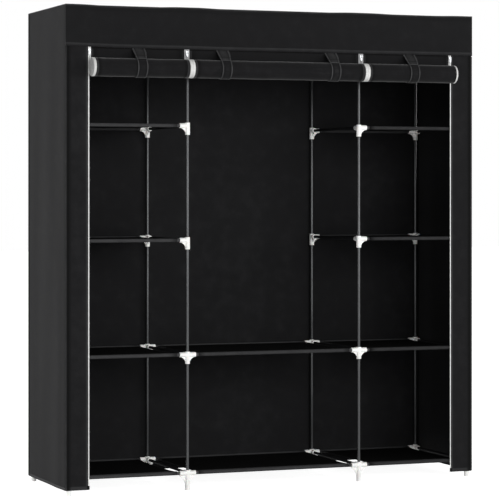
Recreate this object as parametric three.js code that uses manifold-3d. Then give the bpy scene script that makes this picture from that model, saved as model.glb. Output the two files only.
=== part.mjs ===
// Portable fabric wardrobe: thin steel tubes in white plastic joints, ten cloth shelves, and a sewn
// cover whose three doors are rolled up and strapped under the valance.
// Millimetres, +Z up, front towards -Y, feet on Z = 0, the origin under the middle of the whole.
import * as THREE from "three";
import { mergeVertices } from "three/addons/utils/BufferGeometryUtils.js";
import Module from "manifold-3d";

const wasm = await Module();
wasm.setup();

// The whole wardrobe
const WIDTH = 1500; // over the hems of the two sides
const DEPTH = 450; // valance hem to back hem, without the rolled doors
const HEIGHT = 1630; // floor to the top of the cover
const FLOOR_GAP = 20; // under the hem of the cover

// Clearances
const TOUCH = 0.3; // between pieces that touch or are sewn to each other
const FIT = 0.3; // all round a tube in its socket
const OVERRUN = 2; // how far a cutter runs out of what it cuts

// Steel tubes
const TUBE_D = 10;
const TUBE_WALL = 0.8;
const ROUND_SIDES = 8; // flats of a tube, a socket or an arm
const POST_INSET = 15; // from the outside of the cover to the axis of a post
const CENTRE_BAY = 634; // between the axes of the inner posts

// Shelf levels, at the axes of the tubes
const LOWEST_LEVEL = 58;
const LOWEST_PITCH = 400;
const SHELF_PITCH = 387;
const SIDE_SHELVES = 4;
const CENTRE_SHELVES = 2;

// White plastic joints
const ARM_D = 17;
const ARM_REACH = 31; // mouth of an arm from the axis of its post
const SLEEVE_ABOVE = 10.5; // end of the post sleeve over the axis of the arms
const SLEEVE_BELOW = 31;
const SOCKET_FLOOR = 9.5; // bottom of an arm's socket from the axis of its post
const GUSSET_OUT = 27.5; // along the arm, from the axis of the post
const GUSSET_DOWN = 21.5; // along the sleeve, from the axis of the arm
const FOOT_GUSSET_DOWN = 34; // the same along a foot, which is longer than the other sleeves
const GUSSET_HOLLOW = 3; // how far the free edge keeps off the inner corner
const GUSSET_THICK = 4;
const GUSSET_STEPS = 2;
const FOOT_SOLE = 5; // plastic under the tube in a foot
const TOP_ROOF = 3; // plastic over the tube in a top joint

// Cloth and hems
const CLOTH = 0.8;
const HEM_TALL = 12;
const HEM_PROUD = 0.4;

// Shelves
const SHELF_SLEEVE_D = 13; // the cloth sleeve round a width tube
const SHELF_SETBACK = 38; // end of the cloth from the axis of the post
const SHELF_SAG = 4;
const SHELF_STEPS = 6;

// Hanging rail
const RAIL_D = 13;
const HOOK_WALL = 2.4; // of the clip over a top depth tube
const HOOK_LONG = 18;
const HOOK_MOUTH = 8; // snap opening under the clip
const RAIL_START = 1.2; // from the bore of the clip to the end of the rail

// Front of the cover
const VALANCE_DROP = 140;
const VALANCE_EASE = 2.4; // room for the straps between the valance and the doors
const FLAP_WIDE = 79; // from the outside of the cover to the flap's edge at the zip
const INNER_ZIP_OUT = 4.5; // teeth of an inner zip, outward from the axis of its posts
const OUTER_TAPE = 12.8; // both halves of an outer zip
const INNER_TAPE = 22; // both halves of an inner zip
const TEETH_WIDE = 5; // both halves
const TEETH_PROUD = 1.6;
const TEETH_CLEAR = 20; // the teeth turn into the roll this far over its axis

// Rolled doors
const ROLL_AXIS_DROP = 208.5; // axis of a roll under the top of the cover
const ROLL_CORE = 4; // radius of the first turn
const ROLL_PITCH = 2.5; // from one turn to the next
const ROLL_STEPS = 16; // flats in a turn
const DOOR_FLOOR_GAP = 25; // under the hem of a door that is let down

// Straps
const STRAP_WIDE = 34;
const STRAP_THICK = 1;
const OUTER_STRAP_INSET = 250; // from the outside of the cover
const INNER_STRAP_INSET = 117; // from the axis of an inner post
const STRAP_SEAM_DROP = 25; // where the ends are sewn, under the top of the cover
const STRAP_TURN_GAP = 1.5; // under the valance, where the front leaves the door head
const STRAP_STEPS = 5; // flats in each half of the turn round the roll

// Zip sliders and pulls
const SLIDER_WIDE = 9;
const SLIDER_NARROW = 6.4; // at the lower end
const SLIDER_LONG = 12;
const SLIDER_PLATE = 1.2;
const SLIDER_DROP = 6; // top of the slider under the valance hem
const SLIDER_WALL = 1.2; // the lips that run beside the teeth
const BAIL_WIDE = 1.6;
const BAIL_BAR = 1;
const BAIL_ROOM = 2.8; // under the bail
const BAIL_LONG = 7;
const BAIL_LEG = 1;
const PULL_WIDE = 7;
const PULL_LONG = 14; // from the crossbar to the tip
const PULL_THICK = 1.2;
const PULL_EYE_WIDE = 3.4;
const PULL_EYE_LONG = 5;
const PULL_BAR = 1.4;
const PULL_TIP = 5; // width at the tip

// Places that follow from the sizes
const POST_Y = DEPTH / 2 - POST_INSET;
const OUTER_POST_X = WIDTH / 2 - POST_INSET;
const INNER_POST_X = CENTRE_BAY / 2;
const SIDE_BAY = OUTER_POST_X - INNER_POST_X;
const SIDE_MIDDLE_X = (OUTER_POST_X + INNER_POST_X) / 2;
const PANEL_TOP = HEIGHT - CLOTH - TOUCH; // under the top panel
const TOP_LEVEL = PANEL_TOP - ARM_D / 2;
const SKIN_X = WIDTH / 2 - HEM_PROUD; // outside of the side cloth
const SKIN_Y = DEPTH / 2 - HEM_PROUD; // outside of the back cloth and the valance
const FRONT_Y = SKIN_Y - CLOTH - VALANCE_EASE; // outside of the flaps, doors and zip tapes
const VALANCE_FOOT = HEIGHT - VALANCE_DROP;
const FLAP_EDGE = WIDTH / 2 - FLAP_WIDE;
const OUTER_ZIP_X = FLAP_EDGE - OUTER_TAPE / 2;
const INNER_ZIP_X = INNER_POST_X + INNER_ZIP_OUT;
const OUTER_STRAP_X = WIDTH / 2 - OUTER_STRAP_INSET;
const INNER_STRAP_X = INNER_POST_X - INNER_STRAP_INSET;
const TUBE_HOLE_R = TUBE_D / 2 + FIT;

// A rolled door: the cloth that it takes up gives its radius
const ROLL_Z = HEIGHT - ROLL_AXIS_DROP;
const ROLLED_CLOTH = ROLL_Z - DOOR_FLOOR_GAP;
const ROLL_MIDLINE = Math.sqrt(ROLL_CORE ** 2 + (ROLLED_CLOTH * ROLL_PITCH) / Math.PI);
const ROLL_R = ROLL_MIDLINE + CLOTH / 2;
const ROLL_TURNS = (ROLL_MIDLINE - ROLL_CORE) / ROLL_PITCH;
const ROLL_Y = -(FRONT_Y - CLOTH) - ROLL_R;
const STRAP_LOOP_R = ROLL_R + TOUCH + STRAP_THICK / 2;

// The rolls stand out in front, so the middle of the whole lies in front of the frame's own
const FRONT_REACH = STRAP_LOOP_R + STRAP_THICK / 2 - ROLL_Y;
const WHOLE_SHIFT = (FRONT_REACH - DEPTH / 2) / 2;

const POSTS = [
  { name: "left_outer", x: -OUTER_POST_X, outward: -1, inner: false },
  { name: "left_inner", x: -INNER_POST_X, outward: -1, inner: true },
  { name: "right_inner", x: INNER_POST_X, outward: 1, inner: true },
  { name: "right_outer", x: OUTER_POST_X, outward: 1, inner: false },
];
const ROWS = [
  { name: "front", y: -POST_Y, inward: 1 },
  { name: "back", y: POST_Y, inward: -1 },
];

const blackCloth = new THREE.MeshStandardMaterial({ color: 0x1e1e1f, roughness: 0.92, flatShading: true });
const blackStrap = new THREE.MeshStandardMaterial({ color: 0x161617, roughness: 0.8, flatShading: true });
const whitePlastic = new THREE.MeshStandardMaterial({ color: 0xf1f1ef, roughness: 0.45, flatShading: true });
const greySteel = new THREE.MeshStandardMaterial({
  color: 0xa9abad,
  roughness: 0.35,
  metalness: 0.9,
  flatShading: true,
});
const whiteTape = new THREE.MeshStandardMaterial({ color: 0xe9e9e6, roughness: 0.75, flatShading: true });
const zipMetal = new THREE.MeshStandardMaterial({
  color: 0xd9dadb,
  roughness: 0.3,
  metalness: 0.8,
  flatShading: true,
});

// Height of a shelf's tubes; levels count from 1 at the bottom
function levelZ(level) {
  return level === 1 ? LOWEST_LEVEL : LOWEST_LEVEL + LOWEST_PITCH + (level - 2) * SHELF_PITCH;
}

// A closed geometry as a manifold solid
function solidOf(geometry) {
  const bare = new THREE.BufferGeometry();
  bare.setIndex(geometry.index);
  bare.setAttribute("position", geometry.getAttribute("position"));
  const merged = mergeVertices(bare);
  return new wasm.Manifold(
    new wasm.Mesh({
      numProp: 3,
      vertProperties: merged.getAttribute("position").array,
      triVerts: new Uint32Array(merged.index.array),
    }),
  );
}

// A manifold solid as a geometry
function geometryOf(solid) {
  const mesh = solid.getMesh();
  const geometry = new THREE.BufferGeometry();
  geometry.setAttribute("position", new THREE.BufferAttribute(mesh.vertProperties, mesh.numProp));
  geometry.setIndex(new THREE.BufferAttribute(mesh.triVerts, 1));
  return geometry;
}

function join(pieces) {
  return geometryOf(pieces.map(solidOf).reduce((whole, piece) => whole.add(piece)));
}

function cut(piece, cutters) {
  return geometryOf(cutters.map(solidOf).reduce((whole, cutter) => whole.subtract(cutter), solidOf(piece)));
}

// A round bar from one point to another
function rod(radius, from, to, sides = ROUND_SIDES) {
  const start = new THREE.Vector3(...from);
  const end = new THREE.Vector3(...to);
  const along = new THREE.Vector3().subVectors(end, start);
  const bar = new THREE.CylinderGeometry(radius, radius, along.length(), sides);
  const turn = new THREE.Quaternion().setFromUnitVectors(new THREE.Vector3(0, 1, 0), along.normalize());
  bar.applyQuaternion(turn);
  const middle = new THREE.Vector3().addVectors(start, end).divideScalar(2);
  return bar.translate(middle.x, middle.y, middle.z);
}

// A flat piece between two values on each axis, given in either order
function slab(xs, ys, zs) {
  const sizes = [xs, ys, zs].map(([a, b]) => Math.abs(b - a));
  const middles = [xs, ys, zs].map(([a, b]) => (a + b) / 2);
  return new THREE.BoxGeometry(...sizes).translate(...middles);
}

// A drawn section, its first axis along a level direction and its second upright, made thick
function plateAlong(direction, shape, thick, steps = GUSSET_STEPS) {
  const out = new THREE.Vector3(...direction);
  const up = new THREE.Vector3(0, 0, 1);
  const across = new THREE.Vector3().crossVectors(out, up);
  const plate = new THREE.ExtrudeGeometry(shape, { depth: thick, bevelEnabled: false, curveSegments: steps });
  plate.translate(0, 0, -thick / 2);
  return plate.applyMatrix4(new THREE.Matrix4().makeBasis(out, up, across));
}

// A strip of cloth whose midline is a run of [y, z] points, from one x to another
function stripAlongX(midline, thick, from, to) {
  const points = midline.map(([y, z]) => new THREE.Vector2(y, z));
  const sides = points.map((point, i) => {
    const before = points[Math.max(i - 1, 0)];
    const after = points[Math.min(i + 1, points.length - 1)];
    const ahead = new THREE.Vector2().subVectors(after, before).normalize();
    return new THREE.Vector2(-ahead.y, ahead.x);
  });
  const offset = (i, share) => points[i].clone().addScaledVector(sides[i], share * thick);
  const left = points.map((_, i) => offset(i, 1 / 2));
  const right = points.map((_, i) => offset(i, -1 / 2)).reverse();
  const strip = new THREE.ExtrudeGeometry(new THREE.Shape([...left, ...right]), {
    depth: to - from,
    bevelEnabled: false,
  });
  const toX = new THREE.Matrix4().makeBasis(
    new THREE.Vector3(0, 1, 0),
    new THREE.Vector3(0, 0, 1),
    new THREE.Vector3(1, 0, 0),
  );
  return strip.applyMatrix4(toX).translate(from, 0, 0);
}

// The concave web under an arm, reaching down the sleeve as far as is asked
function gusset(direction, down) {
  const r = ARM_D / 2;
  const web = new THREE.Shape();
  web.moveTo(0, 0);
  web.lineTo(GUSSET_OUT, 0);
  web.lineTo(GUSSET_OUT, -r);
  web.quadraticCurveTo(r + GUSSET_HOLLOW, -r - GUSSET_HOLLOW, r, -down);
  web.lineTo(0, -down);
  return plateAlong(direction, web, GUSSET_THICK);
}

// A plastic joint with its arms at the origin. widthSides are the sides, -1 and 1, that take a width
// tube, inward is the way to the other row of posts, and webDown is how far down the webs reach.
function plasticJoint(widthSides, inward, above, below, webDown) {
  const r = ARM_D / 2;
  const depthWay = [0, inward, 0];
  const pieces = [rod(r, [0, 0, -below], [0, 0, above])];
  pieces.push(rod(r, [0, 0, 0], [0, inward * ARM_REACH, 0]));
  pieces.push(gusset(depthWay, webDown));
  for (const side of widthSides) {
    pieces.push(rod(r, [0, 0, 0], [side * ARM_REACH, 0, 0]));
    pieces.push(gusset([side, 0, 0], webDown));
  }
  return join(pieces);
}

// The hole for the post, between two heights
function postHole(low, high) {
  return rod(TUBE_HOLE_R, [0, 0, low], [0, 0, high]);
}

// A depth tube with the joint at each of its ends, at one level of one pair of posts
function rung(widthSides, isLowest) {
  const below = isLowest ? LOWEST_LEVEL : SLEEVE_BELOW;
  const webDown = isLowest ? FOOT_GUSSET_DOWN : GUSSET_DOWN;
  const holeFoot = isLowest ? FOOT_SOLE - LOWEST_LEVEL : -SLEEVE_BELOW - OVERRUN;
  const sockets = widthSides.map((side) =>
    rod(TUBE_HOLE_R, [side * SOCKET_FLOOR, 0, 0], [side * (ARM_REACH + OVERRUN), 0, 0]),
  );
  const cutters = [postHole(holeFoot, SLEEVE_ABOVE + OVERRUN), ...sockets];
  const ends = ROWS.map((row) => {
    const joint = plasticJoint(widthSides, row.inward, SLEEVE_ABOVE, below, webDown);
    const made = cut(joint, cutters);
    return made.translate(0, row.y, 0);
  });
  const tubeEnd = POST_Y - ARM_REACH + OVERRUN;
  return join([...ends, rod(TUBE_D / 2, [0, -tubeEnd, 0], [0, tubeEnd, 0])]);
}

// The eight top joints with the tubes that they hold, under the cover
function topFrame() {
  const r = ARM_D / 2;
  const pieces = [];
  for (const post of POSTS) {
    const widthSides = post.inner ? [-1, 1] : [-post.outward];
    for (const row of ROWS) {
      const made = plasticJoint(widthSides, row.inward, r, SLEEVE_BELOW, GUSSET_DOWN);
      const bored = cut(made, [postHole(-SLEEVE_BELOW - OVERRUN, r - TOP_ROOF)]);
      pieces.push(bored.translate(post.x, row.y, 0));
    }
    const tubeEnd = POST_Y - ARM_REACH + OVERRUN;
    pieces.push(rod(TUBE_D / 2, [post.x, -tubeEnd, 0], [post.x, tubeEnd, 0]));
  }
  for (const row of ROWS) {
    for (let i = 1; i < POSTS.length; i++) {
      const from = POSTS[i - 1].x + ARM_REACH - OVERRUN;
      const to = POSTS[i].x - ARM_REACH + OVERRUN;
      pieces.push(rod(TUBE_D / 2, [from, row.y, 0], [to, row.y, 0]));
    }
  }
  return join(pieces);
}

// A post, hollow as the tube is
function postTube(length) {
  const outside = rod(TUBE_D / 2, [0, 0, 0], [0, 0, length]);
  return cut(outside, [rod(TUBE_D / 2 - TUBE_WALL, [0, 0, -OVERRUN], [0, 0, length + OVERRUN])]);
}

// A cloth shelf with the two width tubes in its sleeves, centred on its bay
function shelf(bay) {
  const tubeHalf = bay / 2 - SOCKET_FLOOR - FIT;
  const clothHalf = bay / 2 - SHELF_SETBACK;
  const clothZ = (SHELF_SLEEVE_D - CLOTH) / 2;
  const midline = [];
  for (let i = 0; i <= SHELF_STEPS; i++) {
    const y = POST_Y * ((2 * i) / SHELF_STEPS - 1);
    midline.push([y, clothZ - SHELF_SAG * (1 - (y / POST_Y) ** 2)]);
  }
  const pieces = [stripAlongX(midline, CLOTH, -clothHalf, clothHalf)];
  for (const row of ROWS) {
    pieces.push(rod(SHELF_SLEEVE_D / 2, [-clothHalf, row.y, 0], [clothHalf, row.y, 0]));
    pieces.push(rod(TUBE_D / 2, [-tubeHalf, row.y, 0], [tubeHalf, row.y, 0]));
  }
  return join(pieces);
}

// The clothes rail, clipped over the two inner depth tubes of the top
function hangingRail() {
  const hookR = TUBE_HOLE_R + HOOK_WALL;
  const railEnd = INNER_POST_X - TUBE_HOLE_R - RAIL_START;
  const pieces = [rod(RAIL_D / 2, [-railEnd, 0, 0], [railEnd, 0, 0])];
  const cutters = [];
  for (const x of [-INNER_POST_X, INNER_POST_X]) {
    pieces.push(rod(hookR, [x, -HOOK_LONG / 2, 0], [x, HOOK_LONG / 2, 0]));
    const cutEnd = HOOK_LONG / 2 + OVERRUN;
    cutters.push(rod(TUBE_HOLE_R, [x, -cutEnd, 0], [x, cutEnd, 0]));
    const mouth = [x - HOOK_MOUTH / 2, x + HOOK_MOUTH / 2];
    cutters.push(slab(mouth, [-cutEnd, cutEnd], [0, -hookR - OVERRUN]));
  }
  return cut(join(pieces), cutters);
}

// A side of the cover with its front flap; the upper part reaches forward to the valance
function coverSide(side) {
  const inside = side * (SKIN_X - CLOTH);
  const outside = side * SKIN_X;
  const hemOutside = side * (SKIN_X + HEM_PROUD);
  const full = [FLOOR_GAP, PANEL_TOP];
  const hem = [FLOOR_GAP, FLOOR_GAP + HEM_TALL];
  const valanceY = -(SKIN_Y - CLOTH - TOUCH);
  return join([
    slab([inside, outside], [-FRONT_Y, SKIN_Y], full),
    slab([inside, outside], [valanceY, CLOTH - FRONT_Y], [VALANCE_FOOT, PANEL_TOP]),
    slab([side * (FLAP_EDGE + TOUCH), outside], [-FRONT_Y, CLOTH - FRONT_Y], full),
    slab([inside, hemOutside], [-FRONT_Y - HEM_PROUD, SKIN_Y], hem),
    slab([side * OUTER_ZIP_X, hemOutside], [-FRONT_Y - HEM_PROUD, CLOTH - FRONT_Y], hem),
  ]);
}

function coverBack() {
  const half = SKIN_X - CLOTH - TOUCH;
  return join([
    slab([-half, half], [SKIN_Y - CLOTH, SKIN_Y], [FLOOR_GAP, PANEL_TOP]),
    slab([-half, half], [SKIN_Y - CLOTH, DEPTH / 2], [FLOOR_GAP, FLOOR_GAP + HEM_TALL]),
  ]);
}

function coverValance() {
  return join([
    slab([-SKIN_X, SKIN_X], [-SKIN_Y, CLOTH - SKIN_Y], [VALANCE_FOOT, PANEL_TOP]),
    slab([-SKIN_X, SKIN_X], [-DEPTH / 2, CLOTH - SKIN_Y], [VALANCE_FOOT, VALANCE_FOOT + HEM_TALL]),
  ]);
}

// The top of the cover with the flat heads of the doors, which run down to the back of the rolls
function coverTop() {
  const pieces = [slab([-SKIN_X, SKIN_X], [-SKIN_Y, SKIN_Y], [HEIGHT - CLOTH, HEIGHT])];
  const outerEdge = OUTER_ZIP_X - OUTER_TAPE / 2 - TOUCH;
  const zipOutside = INNER_ZIP_X + INNER_TAPE / 2 + TOUCH;
  const zipInside = INNER_ZIP_X - INNER_TAPE / 2 - TOUCH;
  const heads = [
    [-outerEdge, -zipOutside],
    [-zipInside, zipInside],
    [zipOutside, outerEdge],
  ];
  for (const head of heads) {
    pieces.push(slab(head, [-FRONT_Y, CLOTH - FRONT_Y], [ROLL_Z + TOUCH, HEIGHT - CLOTH / 2]));
  }
  return join(pieces);
}

// The midline of a rolled door, from where it leaves the back of the roll to the core
function rollMidline() {
  const count = Math.round(ROLL_TURNS * ROLL_STEPS);
  const points = [];
  for (let i = 0; i <= count; i++) {
    const turns = (i / count) * ROLL_TURNS;
    const radius = ROLL_MIDLINE - ROLL_PITCH * turns;
    const angle = -turns * 2 * Math.PI;
    points.push([radius * Math.cos(angle), radius * Math.sin(angle)]);
  }
  return points;
}

// The least gap between the turns of a rolled door, measured from each point to the next turn's flats
function leastRollGap(points) {
  let least = Infinity;
  points.forEach(([y, z], i) => {
    const point = new THREE.Vector3(y, z, 0);
    for (let j = i + Math.round(ROLL_STEPS / 2); j + 1 < points.length; j++) {
      const flat = new THREE.Line3(
        new THREE.Vector3(...points[j], 0),
        new THREE.Vector3(...points[j + 1], 0),
      );
      const nearest = flat.closestPointToPoint(point, true, new THREE.Vector3());
      least = Math.min(least, nearest.distanceTo(point) - CLOTH);
    }
  });
  return least;
}

// A strap: down the front of the door head, round the roll and up behind it
function strap() {
  const frontY = -FRONT_Y - TOUCH - STRAP_THICK / 2 - ROLL_Y;
  const backY = STRAP_LOOP_R;
  const seamZ = HEIGHT - STRAP_SEAM_DROP - ROLL_Z;
  const turnZ = VALANCE_FOOT - STRAP_TURN_GAP - ROLL_Z;
  const reach = Math.hypot(frontY, turnZ);
  const meets = Math.atan2(turnZ, frontY) + Math.acos(STRAP_LOOP_R / reach);
  const points = [
    [frontY, seamZ],
    [frontY, turnZ],
  ];
  for (let i = 0; i <= STRAP_STEPS; i++) {
    const angle = meets + (Math.PI - meets) * (i / STRAP_STEPS);
    points.push([STRAP_LOOP_R * Math.cos(angle), STRAP_LOOP_R * Math.sin(angle)]);
  }
  for (let i = 1; i <= 2 * STRAP_STEPS; i++) {
    const angle = Math.PI + Math.PI * (i / (2 * STRAP_STEPS));
    points.push([STRAP_LOOP_R * Math.cos(angle), STRAP_LOOP_R * Math.sin(angle)]);
  }
  points.push([backY, seamZ]);
  return stripAlongX(points, STRAP_THICK, -STRAP_WIDE / 2, STRAP_WIDE / 2);
}

// The tapes and teeth of an outer zip: the flap's half runs down to the hem, the door's half to the roll
function outerZip(side) {
  const teeth = side * OUTER_ZIP_X;
  const flapSide = side * FLAP_EDGE;
  const doorSide = side * (OUTER_ZIP_X - OUTER_TAPE / 2);
  const foot = FLOOR_GAP + HEM_TALL + TOUCH;
  const tape = [-FRONT_Y, CLOTH - FRONT_Y];
  const proud = [-FRONT_Y - TEETH_PROUD, CLOTH - FRONT_Y];
  const teethHalf = (side * TEETH_WIDE) / 2;
  return join([
    slab([teeth, flapSide], tape, [foot, PANEL_TOP]),
    slab([doorSide, flapSide], tape, [ROLL_Z + TOUCH, PANEL_TOP]),
    slab([teeth, teeth + teethHalf], proud, [foot, VALANCE_FOOT]),
    slab([teeth - teethHalf, teeth + teethHalf], proud, [ROLL_Z + TEETH_CLEAR, VALANCE_FOOT]),
  ]);
}

// The joined upper end of an inner zip, above the rolls
function innerZip() {
  const half = INNER_TAPE / 2;
  const teethHalf = TEETH_WIDE / 2;
  const proud = [-FRONT_Y - TEETH_PROUD, CLOTH - FRONT_Y];
  return join([
    slab([-half, half], [-FRONT_Y, CLOTH - FRONT_Y], [ROLL_Z + TOUCH, PANEL_TOP]),
    slab([-teethHalf, teethHalf], proud, [ROLL_Z + TEETH_CLEAR, VALANCE_FOOT]),
  ]);
}

// A slider over the teeth, its upper end and the face of the tape at the origin
function zipSlider() {
  const plateBack = -(TEETH_PROUD + TOUCH);
  const plateFront = plateBack - SLIDER_PLATE;
  const outline = new THREE.Shape();
  outline.moveTo(-SLIDER_WIDE / 2, 0);
  outline.lineTo(SLIDER_WIDE / 2, 0);
  outline.lineTo(SLIDER_WIDE / 2, -SLIDER_LONG / 2);
  outline.lineTo(SLIDER_NARROW / 2 + SLIDER_WALL / 2, -SLIDER_LONG);
  outline.lineTo(-SLIDER_NARROW / 2 - SLIDER_WALL / 2, -SLIDER_LONG);
  outline.lineTo(-SLIDER_WIDE / 2, -SLIDER_LONG / 2);
  const plate = plateAlong([1, 0, 0], outline, SLIDER_PLATE);
  plate.translate(0, (plateBack + plateFront) / 2, 0);
  const pieces = [plate];
  for (const side of [-1, 1]) {
    const lip = [side * (TEETH_WIDE / 2 + TOUCH), side * (TEETH_WIDE / 2 + TOUCH + SLIDER_WALL)];
    pieces.push(slab(lip, [-TOUCH, plateFront], [0, -SLIDER_LONG]));
  }
  const bail = [-BAIL_WIDE / 2, BAIL_WIDE / 2];
  const bailFront = plateFront - BAIL_ROOM - BAIL_BAR;
  const bailTop = -(SLIDER_LONG - BAIL_LONG) / 2;
  const bailFoot = bailTop - BAIL_LONG;
  pieces.push(slab(bail, [plateFront - BAIL_ROOM, bailFront], [bailTop, bailFoot]));
  pieces.push(slab(bail, [plateBack, bailFront], [bailTop, bailTop - BAIL_LEG]));
  pieces.push(slab(bail, [plateBack, bailFront], [bailFoot, bailFoot + BAIL_LEG]));
  return join(pieces);
}

// A pull that hangs from its crossbar, which lies at the origin under the bail
function zipPull() {
  const plate = new THREE.Shape();
  const eyeHalf = PULL_EYE_WIDE / 2;
  const top = PULL_BAR / 2;
  plate.moveTo(-PULL_WIDE / 2, top);
  plate.lineTo(-eyeHalf, top);
  plate.lineTo(-eyeHalf, -PULL_EYE_LONG);
  plate.lineTo(eyeHalf, -PULL_EYE_LONG);
  plate.lineTo(eyeHalf, top);
  plate.lineTo(PULL_WIDE / 2, top);
  plate.lineTo(PULL_WIDE / 2, -PULL_EYE_LONG);
  plate.lineTo(PULL_TIP / 2, -PULL_LONG);
  plate.lineTo(-PULL_TIP / 2, -PULL_LONG);
  plate.lineTo(-PULL_WIDE / 2, -PULL_EYE_LONG);
  const crossbarEnd = (PULL_WIDE / 2 + eyeHalf) / 2;
  return join([
    plateAlong([1, 0, 0], plate, PULL_THICK),
    rod(PULL_BAR / 2, [-crossbarEnd, 0, 0], [crossbarEnd, 0, 0]),
  ]);
}

function named(name, geometry, material, x = 0, y = 0, z = 0) {
  const mesh = new THREE.Mesh(geometry, material);
  mesh.name = name;
  mesh.position.set(x, y, z);
  return mesh;
}

function frameGroup() {
  const frame = new THREE.Group();
  const postFoot = FOOT_SOLE + TOUCH;
  const postHead = TOP_LEVEL + ARM_D / 2 - TOP_ROOF - TOUCH;
  for (const post of POSTS) {
    for (const row of ROWS) {
      const tube = postTube(postHead - postFoot);
      frame.add(named(`post_${row.name}_${post.name}`, tube, greySteel, post.x, row.y, postFoot));
    }
    for (let level = 1; level <= SIDE_SHELVES; level++) {
      const bothSides = post.inner && level <= CENTRE_SHELVES;
      const shelfSide = post.inner ? post.outward : -post.outward;
      const made = rung(bothSides ? [-1, 1] : [shelfSide], level === 1);
      frame.add(named(`rung_${post.name}_${level}`, made, whitePlastic, post.x, 0, levelZ(level)));
    }
  }
  frame.add(named("top_frame", topFrame(), whitePlastic, 0, 0, TOP_LEVEL));
  frame.add(named("hanging_rail", hangingRail(), greySteel, 0, 0, TOP_LEVEL));
  return frame;
}

function shelfGroup() {
  const columns = [
    { name: "left", x: -SIDE_MIDDLE_X, bay: SIDE_BAY, count: SIDE_SHELVES },
    { name: "centre", x: 0, bay: CENTRE_BAY, count: CENTRE_SHELVES },
    { name: "right", x: SIDE_MIDDLE_X, bay: SIDE_BAY, count: SIDE_SHELVES },
  ];
  const shelves = new THREE.Group();
  for (const column of columns) {
    for (let level = 1; level <= column.count; level++) {
      const name = `shelf_${column.name}_${level}`;
      shelves.add(named(name, shelf(column.bay), blackCloth, column.x, 0, levelZ(level)));
    }
  }
  return shelves;
}

function coverGroup() {
  const cover = new THREE.Group();
  cover.add(named("cover_back", coverBack(), blackCloth));
  cover.add(named("cover_left_side", coverSide(-1), blackCloth));
  cover.add(named("cover_right_side", coverSide(1), blackCloth));
  cover.add(named("cover_top", coverTop(), blackCloth));
  cover.add(named("cover_valance", coverValance(), blackCloth));
  return cover;
}

// Each roll starts where its zip tape starts, so an inner zip winds up in the roll on its right
function doorGroup() {
  const innerLeft = -INNER_ZIP_X - INNER_TAPE / 2;
  const innerRight = INNER_ZIP_X - INNER_TAPE / 2;
  const rolls = [
    { name: "door_left", from: -OUTER_ZIP_X, to: innerLeft },
    { name: "door_centre", from: innerLeft, to: innerRight },
    { name: "door_right", from: innerRight, to: OUTER_ZIP_X },
  ];
  const straps = [
    { name: "strap_left", x: -OUTER_STRAP_X },
    { name: "strap_centre_left", x: -INNER_STRAP_X },
    { name: "strap_centre_right", x: INNER_STRAP_X },
    { name: "strap_right", x: OUTER_STRAP_X },
  ];
  const midline = rollMidline();
  console.log(`least gap between the turns of a rolled door: ${leastRollGap(midline).toFixed(2)} mm`);
  const doors = new THREE.Group();
  doors.position.set(0, ROLL_Y, ROLL_Z);
  for (const roll of rolls) {
    const cloth = stripAlongX(midline, CLOTH, roll.from + TOUCH, roll.to - TOUCH);
    doors.add(named(roll.name, cloth, blackCloth));
  }
  for (const place of straps) {
    doors.add(named(place.name, strap(), blackStrap, place.x));
  }
  return doors;
}

function zipGroup() {
  const zips = new THREE.Group();
  const sliderTop = VALANCE_FOOT - SLIDER_DROP;
  const pivotY = -FRONT_Y - TEETH_PROUD - TOUCH - SLIDER_PLATE - BAIL_ROOM / 2;
  const pivotZ = sliderTop - SLIDER_LONG / 2;
  const places = [
    { name: "left_outer", x: -OUTER_ZIP_X },
    { name: "left_inner", x: -INNER_ZIP_X },
    { name: "right_inner", x: INNER_ZIP_X },
    { name: "right_outer", x: OUTER_ZIP_X },
  ];
  zips.add(named("zip_left_outer", outerZip(-1), whiteTape));
  zips.add(named("zip_left_inner", innerZip(), whiteTape, -INNER_ZIP_X));
  zips.add(named("zip_right_inner", innerZip(), whiteTape, INNER_ZIP_X));
  zips.add(named("zip_right_outer", outerZip(1), whiteTape));
  for (const place of places) {
    zips.add(named(`zip_slider_${place.name}`, zipSlider(), zipMetal, place.x, -FRONT_Y, sliderTop));
    zips.add(named(`zip_pull_${place.name}`, zipPull(), zipMetal, place.x, pivotY, pivotZ));
  }
  return zips;
}

const wardrobe = new THREE.Group();
wardrobe.add(frameGroup(), shelfGroup(), coverGroup(), doorGroup(), zipGroup());
wardrobe.position.y = WHOLE_SHIFT;

export default wardrobe;
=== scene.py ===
# %% [markdown]
# # A portable fabric wardrobe
# A frame of thin steel tubes stands in white plastic joints. It carries ten cloth shelves and wears a sewn
# black cover, whose three doors are rolled up and strapped under the valance. The solid model is loaded
# first and stays where it is. Every piece below stands in for one of its solids, finer and with its finish.

# %% The solid model
import math
from functools import partial

import bmesh
import bpy
import numpy as np
from mathutils import Matrix, Vector


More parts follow.
